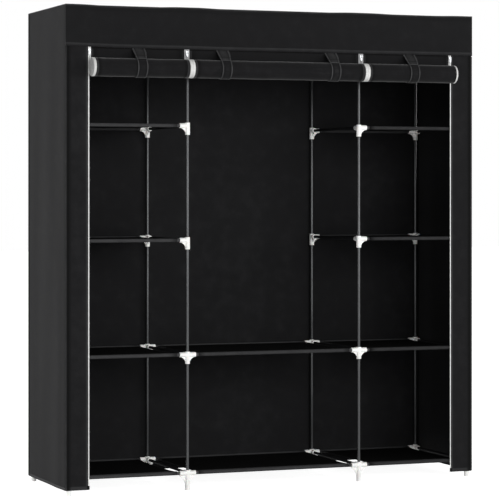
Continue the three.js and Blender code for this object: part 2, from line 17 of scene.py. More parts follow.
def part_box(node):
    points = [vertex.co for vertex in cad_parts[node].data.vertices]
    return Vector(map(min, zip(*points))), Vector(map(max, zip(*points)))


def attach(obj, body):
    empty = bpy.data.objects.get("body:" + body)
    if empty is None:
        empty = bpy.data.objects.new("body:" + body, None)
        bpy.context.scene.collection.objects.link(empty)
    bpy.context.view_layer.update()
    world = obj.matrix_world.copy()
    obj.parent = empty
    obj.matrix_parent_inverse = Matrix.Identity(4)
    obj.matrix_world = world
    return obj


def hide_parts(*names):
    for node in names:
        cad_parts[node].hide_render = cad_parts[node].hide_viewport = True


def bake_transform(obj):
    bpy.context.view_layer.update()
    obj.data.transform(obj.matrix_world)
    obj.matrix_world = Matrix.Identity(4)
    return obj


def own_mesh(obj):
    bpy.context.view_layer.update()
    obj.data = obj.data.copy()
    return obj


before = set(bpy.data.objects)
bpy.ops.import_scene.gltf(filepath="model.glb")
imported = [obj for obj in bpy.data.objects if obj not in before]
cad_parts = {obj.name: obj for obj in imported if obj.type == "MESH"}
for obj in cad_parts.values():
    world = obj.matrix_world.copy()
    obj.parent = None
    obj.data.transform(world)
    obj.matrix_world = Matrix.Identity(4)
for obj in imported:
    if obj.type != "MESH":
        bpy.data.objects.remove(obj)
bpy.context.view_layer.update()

# %% [markdown]
# The sizes are those of the solid model, in metres. The frame of tubes lies a little behind the middle of the
# whole, because the rolled doors stand out in front, so its shift is read from the posts.

# %% Sizes
def middle(node):
    low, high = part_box(node)
    return (low + high) / 2


HANDS = {"left": -1, "right": 1}
SIDES = ("left_outer", "left_inner", "right_inner", "right_outer")
SHELVES = {"left": (1, 2, 3, 4), "centre": (1, 2), "right": (1, 2, 3, 4)}  # by column
ROWS = {"front": 1, "back": -1}  # the way along Y to the other row
POST_X = {side: middle("post_front_" + side).x for side in SIDES}
ROW_Y = {row: middle(f"post_{row}_left_outer").y for row in ROWS}
SHIFT = (ROW_Y["front"] + ROW_Y["back"]) / 2

HALF_WIDTH, HALF_DEPTH, HEIGHT = 0.75, 0.225, 1.63
GAP = 0.0003  # left free between pieces that lie on each other
CLOTH = 0.0008
HEM_PROUD, HEM_TALL = 0.0004, 0.012  # the doubled hem stands a little proud
HEM_FOOT = 0.020  # foot of the cover over the floor
SIDE_X = HALF_WIDTH - HEM_PROUD - CLOTH / 2
BACK_Y = HALF_DEPTH - HEM_PROUD - CLOTH / 2 + SHIFT
VALANCE_Y = -(HALF_DEPTH - HEM_PROUD - CLOTH / 2) + SHIFT
DOOR_Y = VALANCE_Y + 0.0032  # flaps, door heads and zip tapes
TEETH_FRONT = DOOR_Y - CLOTH / 2 - 0.0016
TOP_Z = HEIGHT - CLOTH / 2
PANEL_TOP = HEIGHT - CLOTH - GAP
VALANCE_FOOT = HEIGHT - 0.140
OUTER_ZIP, INNER_ZIP = 0.6655, 0.3215
OUTER_TAPE, INNER_TAPE = 0.0104, 0.022
INNER_SEEN = 0.018  # of the inner tape, between the doors' edges
LEAN = -0.0016  # the front of the cover hangs this far to one side
INNER_X = {name: sign * INNER_ZIP + LEAN for name, sign in HANDS.items()}
OUTER_X = {name: sign * OUTER_ZIP + LEAN for name, sign in HANDS.items()}
LAP = 0.0043  # from the middle of an outer zip to the edge of its flap
FLAP_X = {name: OUTER_X[name] + sign * LAP for name, sign in HANDS.items()}

TUBE_R, TUBE_WALL = 0.005, 0.0008
BORE_R = 0.0053
ARM_R, ARM_REACH = 0.0085, 0.0285
BORE_FLOOR = 0.005  # of a foot, over the floor
BORE_TOP = ARM_R - 0.003  # of a top joint, over its level
SOCKET = 0.0095  # from a post's middle to the end of the tube in an arm
SLEEVE_UP, SLEEVE_DOWN = 0.0105, 0.031
LEVEL_Z = [PANEL_TOP - ARM_R] + [middle(f"shelf_left_{level}").z for level in SHELVES["left"]]
TOP_LEVEL = LEVEL_Z[0]

ROLL_Z, ROLL_MID = 1.4225, 0.0323  # the roll's middle, and its radius to the middle of the cloth
ROLL_CORE, ROLL_PITCH = 0.004, 0.0025  # its hollow, and from turn to turn
ROLL_Y = DOOR_Y + CLOTH / 2 - ROLL_MID - CLOTH / 2
STRAP_X = {"left": -0.5, "centre_left": -0.2, "centre_right": 0.2, "right": 0.5}
STRAP_WIDE, STRAP_THICK = 0.0355, 0.001
LOOP_R = ROLL_MID + CLOTH / 2 + GAP + STRAP_THICK / 2  # of a strap round the roll
print(f"frame shifted back by {SHIFT * 1000:.1f} mm, levels at", [round(z, 3) for z in LEVEL_Z])

# %% [markdown]
# The model's operators act on whatever is selected, so everything is deselected before each new primitive. A
# finished piece has its place in its mesh. It rides on a body of the solid model, and the solid that it
# stands
# in for is hidden. A finish is a pair: the model's material slot, and the material made for it here.

# %% Taking a piece in hand, and handing it over
def take(*pieces):
    """Selects these pieces alone. The first becomes the active one."""
    for other in bpy.context.selected_objects:
        other.select_set(False)
    for piece in pieces:
        piece.select_set(True)
        bpy.context.view_layer.objects.active = pieces[0]


def settle(piece):
    """Puts the piece's place, turn and size into its mesh."""
    take(piece)
    bpy.ops.object.transform_apply(location=True, rotation=True, scale=True)


def in_edit_mode(piece, kind, wanted, work):
    """Selects the faces or edges for which wanted() says yes, and does the work on them."""
    take(piece)
    bpy.ops.object.mode_set(mode="EDIT")
    shape = bmesh.from_edit_mesh(piece.data)
    bpy.ops.mesh.select_mode(type=kind)
    bpy.ops.mesh.select_all(action="DESELECT")
    for element in shape.faces if kind == "FACE" else shape.edges:
        if wanted(element):
            element.select_set(True)
    shape.select_flush(True)
    bmesh.update_edit_mesh(piece.data)
    work()
    bpy.ops.object.mode_set(mode="OBJECT")


def round_edges(piece, wanted, offset=0.0, segments=2, **more):
    in_edit_mode(
        piece, "EDGE", wanted,
        lambda: bpy.ops.mesh.bevel(offset=offset, segments=segments, affect="EDGES", **more),
    )


def apply_modifier(piece, kind, **settings):
    take(piece)
    modifier = piece.modifiers.new(kind.title(), kind)
    for name, value in settings.items():
        setattr(modifier, name, value)
    bpy.ops.object.modifier_apply(modifier=modifier.name)


def smooth(piece, degrees=35):
    take(piece)
    bpy.ops.object.shade_smooth_by_angle(angle=math.radians(degrees))
    return piece


def add_object(name, data):
    made = bpy.data.objects.new(name, data)
    bpy.context.collection.objects.link(made)
    return made


def copy_of(piece, place, turn=Matrix.Identity(4)):
    """A copy with a mesh of its own, turned and moved in that mesh."""
    made = add_object(piece.name, piece.data.copy())
    made.data.transform(Matrix.Translation(place) @ turn)
    return made


def hand_over(piece, name, finish, node=None, body="root", across=None):
    """Names a finished piece, gives it its material and hides its solid. It rides on a body, or, given
    across, has its place put in its mesh and rides on none.
    """
    slot, material = finish
    piece.name = piece.data.name = name
    piece.data.materials.clear()
    piece.data.materials.append(material)
    if node:
        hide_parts(node)
    if across:
        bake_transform(piece)
    else:
        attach(piece, body)
    return piece


# %% [markdown]
# Colours are written as sRGB hex values, as a paint chart gives them, and turned to linear light here. One
# function adds a shader node with its settings and links. A Map Range node takes its value at input 0, the
# range that it comes from at 1 and 2, and the range that it goes to at 3 and 4, each 0 to 1 unless given.

# %% Colours and nodes
def linear(hex_colour):
    values = [int(hex_colour[i : i + 2], 16) / 255 for i in (1, 3, 5)]
    return [v / 12.92 if v <= 0.04045 else ((v + 0.055) / 1.055) ** 2.4 for v in values] + [1.0]


def feed(material, socket, value):
    """Links a socket to a node's output, or sets its number or colour."""
    if isinstance(value, bpy.types.NodeSocket):
        material.node_tree.links.new(value, socket)
    else:
        socket.default_value = value


def add_node(material, kind, inputs=None, out=0, stops=(), **settings):
    """Adds a node and returns one of its outputs. A colour ramp's stops are pairs of place and hex colour."""
    made = material.node_tree.nodes.new("ShaderNode" + kind)
    for name, value in settings.items():
        setattr(made, name, value)
    for socket, value in (inputs or {}).items():
        feed(material, made.inputs[socket], value)
    for count, (place, colour) in enumerate(stops):
        elements = made.color_ramp.elements
        stop = elements[count] if count < len(elements) else elements.new(1.0)
        stop.position, stop.color = place, linear(colour)
    return made.outputs[out]


def connect(material, **sockets):
    """Feeds the sockets of the material's one shader, whose names have _ for a space here."""
    for name, value in sockets.items():
        feed(material, material.node_tree.nodes["Principled BSDF"].inputs[name.replace("_", " ")], value)


def new_finish(name, **shader):
    """A material with its shader's all-over numbers, and the socket that gives its patterns their place."""
    material = bpy.data.materials.new(name)
    material.use_nodes = True
    connect(material, **shader)
    return material, add_node(material, "TexCoord", out="Object")


def toned(material, tone, pattern, share, top, *stops):
    """The painted tone with a share of a pattern, from -1 to top, as a colour between the stops."""
    level = add_node(material, "Math", {0: pattern, 1: share, 2: tone}, operation="MULTIPLY_ADD")
    shade = add_node(material, "MapRange", {0: level, 1: -1.0, 2: top})
    return add_node(material, "ValToRGB", {"Fac": shade}, stops=stops)


# %% [markdown]
# The cover is spunbond polypropylene: fibres laid at random and welded in a lattice of small points. The
# points are about 3 mm apart, which the render can only just show, so they are a low bump. Cloudy patches
# some centimetres wide come from uneven fibre. The fuzz of the fibres catches light at a grazing angle, which
# is the sheen. An attribute called tone, painted on each sheet, paints light and shade into the colour:
# painted highlights on hems, edges and rounded parts, and painted shade in seams, creases and corners. It
# also lowers the sheen where it paints shade.

# %% Non-woven cloth
def cloth_finish(name, dark, plain, light, sheen, gloss=0.1, pitch=0.003):
    made, place = new_finish(name, Sheen_Roughness=0.35, Specular_IOR_Level=gloss)
    tone = add_node(made, "Attribute", out="Fac", attribute_name="tone")
    cloud = add_node(made, "TexNoise", {"Vector": place, "Scale": 26.0, "Detail": 4.0, "Roughness": 0.6})
    fibre = add_node(made, "TexNoise", {"Vector": place, "Scale": 900.0, "Detail": 2.0, "Roughness": 0.7})
    lattice = (2 * math.pi / pitch,) * 3
    turned = add_node(made, "VectorMath", {0: place, 1: lattice}, operation="MULTIPLY")
    waves = add_node(made, "VectorMath", {0: turned}, operation="SINE")
    welds = add_node(made, "VectorMath", {0: waves, 1: (1, 1, 1)}, "Value", operation="DOT_PRODUCT")
    patch = add_node(made, "Math", {0: cloud, 1: -0.5})
    speck = add_node(made, "Math", {0: welds, 1: 0.06, 2: patch}, operation="MULTIPLY_ADD")
    low = add_node(made, "Bump", {"Height": welds, "Strength": 0.5, "Distance": 0.0001})
    connect(
        made,
        Base_Color=toned(made, tone, speck, 0.4, 1.0, (0.0, dark), (0.5, plain), (1.0, light)),
        Sheen_Weight=add_node(made, "MapRange", {0: tone, 1: -1.0, 2: 0.0, 3: 0.1 * sheen, 4: sheen}),
        Roughness=add_node(made, "MapRange", {0: fibre, 3: 0.78, 4: 0.95}),
        Normal=add_node(made, "Bump", {"Height": fibre, "Strength": 0.35, "Distance": 0.0002, "Normal": low}),
    )
    return made


COVER_CLOTH = "cover_cloth", cloth_finish("black_spunbond_cover", "#040404", "#141415", "#3C3C3D", sheen=0.09)
# The shelves get a darker copy of the cover's cloth without sheen: painted shade, so that the decks stay
# nearly black.
SHELF_CLOTH = "shelf_cloth", cloth_finish(
    "black_spunbond_shelf", "#030303", "#060606", "#464647", sheen=0.0, gloss=0.04
)
# The rolls get a copy of the cover's cloth, darker and with more sheen, so that their top and bottom rims
# catch more light than the cover's cloth would.
ROLL_CLOTH = "cover_cloth", cloth_finish("black_spunbond_rolled", "#040404", "#111112", "#3B3B3C", sheen=0.20)
STRAP_CLOTH = "strap_webbing", cloth_finish(
    "black_folded_band", "#050506", "#111112", "#565657", sheen=0.14, pitch=0.0022
)
print("cloth finishes:", [made.name for _, made in (COVER_CLOTH, SHELF_CLOTH, ROLL_CLOTH, STRAP_CLOTH)])

# %% [markdown]
# The joints are injection-moulded polypropylene: bright white, satin, with a very faint orange peel from
# the mould. Its gloss varies a little where the plastic flowed. The tubes are steel with a grey powder coat,
# which has a fine grain of half a millimetre. The sliders are die-cast zinc with bright nickel plate, a
# little scuffed. All three are built alike, from broad patches and a fine grain.

# %% Moulded plastic, powder-coated steel and nickel plate
def hard_finish(name, colours, rough, patch, grain=None, bump=0.0, grainy_gloss=False, **shader):
    """patch and grain are the scale and detail of a noise. The patches vary the colour and the gloss."""
    made, place = new_finish(name, **shader)
    broad = add_node(made, "TexNoise", {"Vector": place, "Scale": patch[0], "Detail": patch[1]})
    gloss = broad
    if grain:
        fine = add_node(made, "TexNoise", {"Vector": place, "Scale": grain[0], "Detail": grain[1]})
        gloss = fine if grainy_gloss else broad
        connect(made, Normal=add_node(made, "Bump", {"Height": fine, "Strength": bump, "Distance": 0.0001}))
    connect(
        made,
        Base_Color=add_node(made, "ValToRGB", {"Fac": broad}, stops=zip((0.3, 0.7), colours)),
        Roughness=add_node(made, "MapRange", {0: gloss, 3: rough[0], 4: rough[1]}),
    )
    return made


COAT = {"patch": (14.0, 2.0), "grain": (2000.0, 2.0), "bump": 0.15, "grainy_gloss": True}
WHITE_PLASTIC = "white_plastic", hard_finish(
    "white_moulded_polypropylene", ("#EDEDEA", "#F5F5F3"), (0.36, 0.48), patch=(45.0, 3.0),
    grain=(1400.0, 1.0), bump=0.12, IOR=1.49, Subsurface_Weight=0.04, Subsurface_Scale=0.001,
)
GREY_STEEL = "steel_tube", hard_finish(
    "grey_powder_coated_steel", ("#3E3F40", "#464748"), (0.30, 0.42), Metallic=0.65, **COAT
)
# The shelves' depth tubes get a darker copy of the same steel: painted shade, for the shade between the
# cloths.
SHADED_STEEL = "steel_tube", hard_finish(
    "powder_coated_steel_painted_shade", ("#19191A", "#1F1F20"), (0.60, 0.72), Specular_IOR_Level=0.02, **COAT
)
NICKEL = "zip_metal", hard_finish(
    "bright_nickel_plate", ("#9A9C9E", "#B0B2B4"), (0.20, 0.34), patch=(500.0, 4.0), Metallic=1.0
)
print("hard finishes:", [made.name for _, made in (WHITE_PLASTIC, GREY_STEEL, SHADED_STEEL, NICKEL)])

# %% [markdown]
# The zips have white woven polyester tape, with ribs about 0.8 mm apart, and nylon teeth of the same white.
# Their tone attribute darkens what lies in shade.

# %% Zip tape and teeth
def zip_finish(name, pattern, share, dark, light, **shader):
    """pattern is the kind of a texture node, with its inputs and settings."""
    made, place = new_finish(name, **shader)
    kind, inputs, settings = pattern
    tone = add_node(made, "Attribute", out="Fac", attribute_name="tone")
    worn = add_node(made, kind, {"Vector": place, **inputs}, "Fac", **settings)
    connect(made, Base_Color=toned(made, tone, worn, share, share, (0.0, dark), (1.0, light)))
    return made, worn


ribs = "TexWave", {"Scale": 390.0, "Distortion": 0.4}, {"bands_direction": "DIAGONAL"}
tape, woven = zip_finish(
    "white_woven_tape", ribs, 0.25, "#77777A", "#D8D8D6", Roughness=0.75, Sheen_Weight=0.15
)
connect(tape, Normal=add_node(tape, "Bump", {"Height": woven, "Strength": 0.3, "Distance": 0.0001}))
wear = "TexNoise", {"Scale": 300.0, "Detail": 2.0}, {}
teeth, worn = zip_finish("white_nylon_teeth", wear, 0.1, "#707072", "#F0F0EE", IOR=1.53)
connect(teeth, Roughness=add_node(teeth, "MapRange", {0: worn, 3: 0.3, 4: 0.45}))
ZIP_TAPE, ZIP_TEETH = ("zip_tape", tape), ("zip_tape", teeth)
print("zip finishes:", tape.name, teeth.name)

# %% [markdown]
# The camera was solved from the photograph: it stands level, a metre above the floor, and its lens is moved
# down in front of the film, so that the uprights stay upright. It comes before the pieces, and so do the
# floor and the lamps. The floor and the world are white to the camera, and the floor keeps its shadow.

# %% Camera, floor and lamps
FOCAL_PIXELS, HORIZON_ROW, FRAME_PIXELS, SENSOR = 2261.86, 192.35, 500, 36.0
view = bpy.data.cameras.new("camera")
view.sensor_width = SENSOR
view.lens = FOCAL_PIXELS / FRAME_PIXELS * SENSOR
view.shift_y = (HORIZON_ROW - FRAME_PIXELS / 2) / FRAME_PIXELS
view.clip_end = 100
camera = add_object("camera", view)
camera.location = (-2.9069, -7.3767, 1.0068)
camera.rotation_euler = (math.radians(90), 0, math.radians(-21.37))
bpy.context.scene.camera = camera
bpy.context.scene.view_settings.view_transform = "Standard"

AIM = (0, 0, 0.8)
LAMPS = {  # place, aim, width, height and watts
    "key_softbox": ((0.8, -8.5, 2.1), AIM, 6.0, 3.8, 440),
    "right_softbox": ((6.4, -6.0, 2.2), AIM, 2.6, 3.2, 225),
    "left_softbox": ((-5.5, -6.5, 2.2), AIM, 2.6, 3.0, 40),
    "side_softbox": ((-5.0, 0.4, 1.5), (-0.7, 0, 0.8), 2.0, 2.4, 150),
}
for name, (place, aim, width, height, watts) in LAMPS.items():
    light = bpy.data.lights.new(name, "AREA")
    light.shape = "RECTANGLE"
    light.size, light.size_y, light.energy = width, height, watts
    lamp = add_object(name, light)
    lamp.location = place
    lamp.rotation_euler = (Vector(aim) - Vector(place)).to_track_quat("-Z", "Y").to_euler()


def seen_directly(material):
    """1 for the rays of the camera, mirrors and glass, and 0 for those that light the object."""
    path = add_node(material, "LightPath").node
    rays = [path.outputs[f"Is {kind} Ray"] for kind in ("Camera", "Glossy", "Transmission")]
    both = add_node(material, "Math", {0: rays[0], 1: rays[1]}, operation="MAXIMUM")
    return add_node(material, "Math", {0: both, 1: rays[2]}, operation="MAXIMUM")


AMBIENT = 0.12
WHITE = (1, 1, 1, 1)
world = bpy.data.worlds.new("studio")
world.use_nodes = True
bpy.context.scene.world = world
sky = world.node_tree.nodes["Background"]
sky.inputs["Color"].default_value = WHITE
strength = add_node(world, "MapRange", {0: seen_directly(world), 3: AMBIENT, 4: 1.0})
feed(world, sky.inputs["Strength"], strength)

take()
bpy.ops.mesh.primitive_plane_add(size=60, location=(0, 0, 0))
floor = bpy.context.object
floor.name = "floor"
paper, spot = new_finish(
    "white_paper_floor", Roughness=0.9, Base_Color=linear("#F0F0F0"), Emission_Color=WHITE
)
away = add_node(paper, "VectorMath", {0: spot}, "Value", operation="LENGTH")
fade = add_node(paper, "MapRange", {0: away, 1: 0.9, 2: 2.6, 3: 0.92, 4: 1.0})
glow = add_node(paper, "Math", {0: seen_directly(paper), 1: fade}, operation="MULTIPLY")
connect(paper, Emission_Strength=glow)
floor.data.materials.append(paper)
print(f"lens {view.lens:.1f} mm, shift {view.shift_y:.4f}")

# %% [markdown]
# A tube is cut from drawn steel, so its ends are hollow. A cylinder gives the outside, and each end face is
# inset by the wall and pushed in. The ends sit in the joints' sockets.

# %% Steel tubes
def bar(start, end, radius, bevel=0.0):
    """A round bar between two points, its end edges rounded."""
    start, end = Vector(start), Vector(end)
    along = end - start
    take()
    bpy.ops.mesh.primitive_cylinder_add(
        vertices=24, radius=radius, depth=along.length, location=(start + end) / 2,
        rotation=along.to_track_quat("Z", "Y").to_euler(),
    )
    piece = bpy.context.object
    settle(piece)
    if bevel:
        way = along.normalized()
        round_edges(piece, lambda e: abs((e.verts[1].co - e.verts[0].co).normalized().dot(way)) < 0.5, bevel)
    return piece


def tube(start, end, radius=TUBE_R):
    piece = bar(start, end, radius, bevel=0.0002)
    way = (Vector(end) - Vector(start)).normalized()
    for inward in (-way, way):
        def hollow_out():
            bpy.ops.mesh.inset(thickness=TUBE_WALL)
            bpy.ops.mesh.extrude_region_move(TRANSFORM_OT_translate={"value": inward * HOLLOW})

        in_edit_mode(piece, "FACE", lambda f: f.normal.dot(inward) < -0.99, hollow_out)
    return smooth(piece)


HOLLOW = 0.012  # how far the ends are hollow
END = SOCKET + GAP  # where a tube ends, from the post's middle
DEPTH_HALF = (ROW_Y["back"] - ROW_Y["front"]) / 2 - END
upright = tube((0, 0, BORE_FLOOR + GAP), (0, 0, TOP_LEVEL + BORE_TOP - GAP))
depth_tube = tube((0, SHIFT - DEPTH_HALF, 0), (0, SHIFT + DEPTH_HALF, 0))
for side, x in POST_X.items():
    for row, y in ROW_Y.items():
        hand_over(copy_of(upright, (x, y, 0)), f"upright_{row}_{side}", GREY_STEEL, f"post_{row}_{side}")
    for level in (1, 2, 3, 4):
        # painted shade: the shelves' depth tubes take the darker copy of the steel
        made = copy_of(depth_tube, (x, 0, LEVEL_Z[level]))
        hand_over(made, f"depth_tube_{side}_{level}", SHADED_STEEL, f"rung_{side}_{level}")
    hand_over(copy_of(depth_tube, (x, 0, TOP_LEVEL)), f"top_depth_tube_{side}", GREY_STEEL, "top_frame")
for leftover in (upright, depth_tube):
    bpy.data.objects.remove(leftover)

WIDTH_ENDS = {
    column: (POST_X[SIDES[count]], POST_X[SIDES[count + 1]]) for count, column in enumerate(SHELVES)
}
for column, (x0, x1) in WIDTH_ENDS.items():
    for row, y in ROW_Y.items():
        for level in (0, *SHELVES[column]):
            made = tube((x0 + END, y, LEVEL_Z[level]), (x1 - END, y, LEVEL_Z[level]))
            if level:
                hand_over(made, f"width_tube_{row}_{column}_{level}", GREY_STEEL, f"shelf_{column}_{level}")
            else:
                hand_over(made, f"top_width_tube_{row}_{column}", GREY_STEEL, "top_frame")

# %% [markdown]
# A joint is one moulding: an upright sleeve, two or three arms, and a concave web under each arm. It is made
# as a moulder would draw it. Round bars are added together with booleans, each web is a block whose outer
# edge is bevelled to a hollow curve, and the sockets are bored last, so that the tubes go into real holes.

# %% Plastic joints
THROUGH = 0.002  # how far a bore runs past the plastic
ROUNDING = 0.0009  # of the moulding's edges
WEB_THICK, WEB_OUT = 0.004, 0.0255


def brick(place, size):
    """A block of this size about a place."""
    take()
    bpy.ops.mesh.primitive_cube_add(size=1, location=place)
    piece = bpy.context.object
    piece.scale = size
    settle(piece)
    return piece


def combine(piece, other, operation):
    apply_modifier(piece, "BOOLEAN", object=other, operation=operation, solver="MANIFOLD")
    bpy.data.objects.remove(other)


def web(way, down):
    """The web under an arm: a plate with its free corner bevelled away to a hollow curve."""
    across = Vector((0, 0, 1)).cross(way)
    size = [abs(way[i]) * WEB_OUT + abs(across[i]) * WEB_THICK + (down if i == 2 else 0) for i in range(3)]
    plate = brick(way * (WEB_OUT / 2) - Vector((0, 0, down / 2)), size)
    round_edges(
        plate, lambda e: all(v.co.dot(way) > WEB_OUT * 0.9 and v.co.z < -down * 0.9 for v in e.verts),
        segments=8, offset_type="PERCENT", offset_pct=64, profile=0.13,
    )
    return plate


def plastic_joint(width_ways, above, below, web_down=0.0215, bore_floor=None, bore_top=None):
    """A joint at the origin, with its depth arm towards +Y. Its bore is open where no end is given."""
    made = bar((0, 0, -below), (0, 0, above), ARM_R, ROUNDING)
    ways = [Vector((0, 1, 0))] + [Vector((way, 0, 0)) for way in width_ways]
    for way in ways:
        combine(made, bar(way * -0.001, way * ARM_REACH, ARM_R, ROUNDING), "UNION")
        combine(made, web(way, web_down), "UNION")
    low = -below - THROUGH if bore_floor is None else bore_floor
    high = above + THROUGH if bore_top is None else bore_top
    combine(made, bar((0, 0, low), (0, 0, high), BORE_R), "DIFFERENCE")
    for way in ways:
        combine(made, bar(way * SOCKET, way * (ARM_REACH + THROUGH), BORE_R), "DIFFERENCE")
    return smooth(made, 40)


FOOT_DOWN = LEVEL_Z[1]
MOULDINGS = {
    "foot": {"above": SLEEVE_UP, "below": FOOT_DOWN, "web_down": 0.034, "bore_floor": BORE_FLOOR - FOOT_DOWN},
    "level": {"above": SLEEVE_UP, "below": SLEEVE_DOWN},
    "top": {"above": ARM_R, "below": SLEEVE_DOWN, "bore_top": BORE_TOP},
}
HALF_TURN = Matrix.Rotation(math.pi, 4, "Z")
patterns = {}
for side, x in POST_X.items():
    outward = HANDS[side.split("_")[0]]
    for level in (1, 2, 3, 4, 0):
        kind = {0: "top", 1: "foot"}.get(level, "level")
        ways = [-outward] if side.endswith("outer") else [-1, 1] if level < 3 else [outward]
        for row, turn in ROWS.items():
            # the back row has the same mouldings, turned round
            key = (kind, *[way * turn for way in ways])
            if key not in patterns:
                patterns[key] = plastic_joint(key[1:], **MOULDINGS[kind])
            spin = Matrix.Identity(4) if row == "front" else HALF_TURN
            made = copy_of(patterns[key], (x, ROW_Y[row], LEVEL_Z[level]), spin)
            name = f"joint_{row}_{side}_{level}" if level else f"top_joint_{row}_{side}"
            hand_over(made, name, WHITE_PLASTIC, f"rung_{side}_{level}" if level else "top_frame")
print("joint mouldings:", len(patterns), "faces each:", [len(p.data.polygons) for p in patterns.values()])
for pattern in patterns.values():
    bpy.data.objects.remove(pattern)

# %% [markdown]
# The clothes rail lies over the two inner depth tubes of the top. Each end has a clip that snaps over the
# tube: a ring with a mouth cut out below.

# %% Hanging rail
RAIL_R = 0.0065
CLIP_R = BORE_R + 0.0024
CLIP_HALF = 0.009
RAIL_END = POST_X["right_inner"] - BORE_R - 0.0012
rail = tube((-RAIL_END, SHIFT, TOP_LEVEL), (RAIL_END, SHIFT, TOP_LEVEL), radius=RAIL_R)
clips = [Vector((POST_X[side], SHIFT, TOP_LEVEL)) for side in ("left_inner", "right_inner")]
for clip in clips:
    half = Vector((0, CLIP_HALF, 0))
    combine(rail, bar(clip - half, clip + half, CLIP_R, bevel=0.0005), "UNION")
for clip in clips:
    half = Vector((0, CLIP_HALF + 0.003, 0))
    combine(rail, bar(clip - half, clip + half, BORE_R), "DIFFERENCE")
    combine(rail, brick(clip - Vector((0, 0, CLIP_R)), (0.008, 0.03, 2 * CLIP_R)), "DIFFERENCE")
hand_over(smooth(rail), "clothes_rail", GREY_STEEL, "hanging_rail")
print("rail length:", round(2 * RAIL_END, 3))

# %% [markdown]
# Every sheet of cloth starts as a flat grid with one row or column of points at each place that matters, such
# as a hem line. Its points are then moved to where the sewn sheet lies, with the small waves that hung cloth
# has, and a thickness is added. The tone attribute is written before the cloth is made thick.

# %% Sheets of cloth
def stations(length, step, *lines, wide=0.0012):
    """Places along a cut edge: even steps, and a close pair at each sewn line."""
    count = max(2, round(length / step))
    places = list(np.linspace(0, length, count + 1))
    for line in lines:
        places = [p for p in places if abs(p - line) > 2 * wide or p in (0, length)]
        places += [line - wide, line, line + wide]
    return np.array(sorted(p for p in places if 0 <= p <= length))


def merged(*places, digits=6):
    return np.unique(np.round(np.concatenate(places), digits))


def both_edges(length, *lines):
    """The same lines in from either edge."""
    return [*lines, *(length - line for line in reversed(lines))]


def paint(piece, shades):
    """Writes the tone of every point."""
    piece.data.attributes.new("tone", "FLOAT", "POINT").data.foreach_set("value", shades)


def cloth(us, vs, place, tone, thick=CLOTH):
    take()
    bpy.ops.mesh.primitive_grid_add(x_subdivisions=len(us) - 1, y_subdivisions=len(vs) - 1, size=1)
    piece = bpy.context.object
    flat = np.empty(len(piece.data.vertices) * 3)
    piece.data.vertices.foreach_get("co", flat)
    flat = flat.reshape(-1, 3)
    u = us[np.rint((flat[:, 0] + 0.5) * (len(us) - 1)).astype(int)]
    v = vs[np.rint((flat[:, 1] + 0.5) * (len(vs) - 1)).astype(int)]
    piece.data.vertices.foreach_set("co", np.stack(place(u, v), axis=1).ravel())
    paint(piece, tone(u, v))
    apply_modifier(piece, "SOLIDIFY", thickness=thick, offset=0)
    return smooth(piece, 60)


def sewn(name, us, vs, place, tone, flat, held="hung", rests_on=("cover_top_panel",), finish=COVER_CLOTH,
         thick=CLOTH, **more):
    """A sheet with its finish. The size that it was cut to (flat), what holds it (held) and what it rests on
    (rests_on) are not used.
    """
    piece = hand_over(cloth(us, vs, place, tone, thick), name, finish, **more)
    return piece


def wave(a, b, *parts):
    """Small soft waves: each part is an amplitude, two wave numbers a metre, and a phase."""
    return sum(size * np.sin(2 * math.pi * (m * a + n * b) + phase) for size, m, n, phase in parts)


def ease(value, width):
    """0 at an edge, rising smoothly to 1 at width from it."""
    t = np.clip(value / width, 0, 1)
    return t * t * (3 - 2 * t)


def streak(value, places, wide=0.0015, tone=-0.8):
    """A soft line at one or more places: dark, or pale where its tone is over 0."""
    return sum(tone * np.exp(-(((value - place) / wide) ** 2)) for place in np.atleast_1d(places))


def top_dip(x):
    """How far the top of the cover hangs between the joints that hold it up."""
    x = np.asarray(x)
    gap = np.min(np.abs(x[..., None] - np.array([*POST_X.values()])), axis=-1)
    return 0.0026 * (1.0 - 0.25 * x / HALF_WIDTH) * ease(gap - 0.03, 0.11)


# %% [markdown]
# The back is one panel that hangs from the top seam. It bellies out a few millimetres between the posts, and
# its foot is a hem of two layers.

# %% Back panel
SEAM = 0.010  # cloth that a seam takes up
FALL = PANEL_TOP - HEM_FOOT
HEM_LINE = HEM_TALL - 0.0015
BACK_HALF = SIDE_X - 0.0012


def cover_hem(height):
    """How far the doubled hem stands out, by the height over its foot."""
    return HEM_PROUD * (height < HEM_TALL)


def back_place(u, v):
    x = u - BACK_HALF
    belly = 0.0022 * ease(SIDE_X - np.abs(x), 0.2) * ease(FALL - v, 0.3)
    ripple = wave(x, v, (0.0007, 2.2, 0.35, 0.4), (0.0005, 3.7, -0.6, 2.0), (0.0003, 6.1, 0.5, 1.1))
    y = BACK_Y + belly * (0.6 + 0.4 * np.cos(7 * x)) + ripple * ease(FALL - v, 0.25) + cover_hem(v)
    return x, y, HEM_FOOT + v


sewn(
    "cover_back_panel", stations(2 * BACK_HALF, 0.03), stations(FALL, 0.025, HEM_TALL), back_place,
    lambda u, v: streak(v, HEM_LINE) + 0.25 * (v < HEM_TALL),
    flat=(2 * BACK_HALF + 3 * SEAM, FALL + 3 * SEAM), node="cover_back",
)
print("back panel:", round(2 * BACK_HALF, 3), "by", round(FALL, 3))

# %% [markdown]
# Each side is one panel too. It runs from the back seam to the front corner, turns round the corner and ends
# as the narrow flap that carries half of the outer zip.

# %% Sides with their front flaps
CORNER_R = 0.003
SIDE_RUN = BACK_Y - DOOR_Y - CORNER_R
TURN_END = SIDE_RUN + math.pi / 2 * CORNER_R
FLAP_RUN = {name: SIDE_X - CORNER_R - abs(edge) for name, edge in FLAP_X.items()}
FLAP_RIDGE = 0.0052  # pale line beside the zip, from the flap's edge


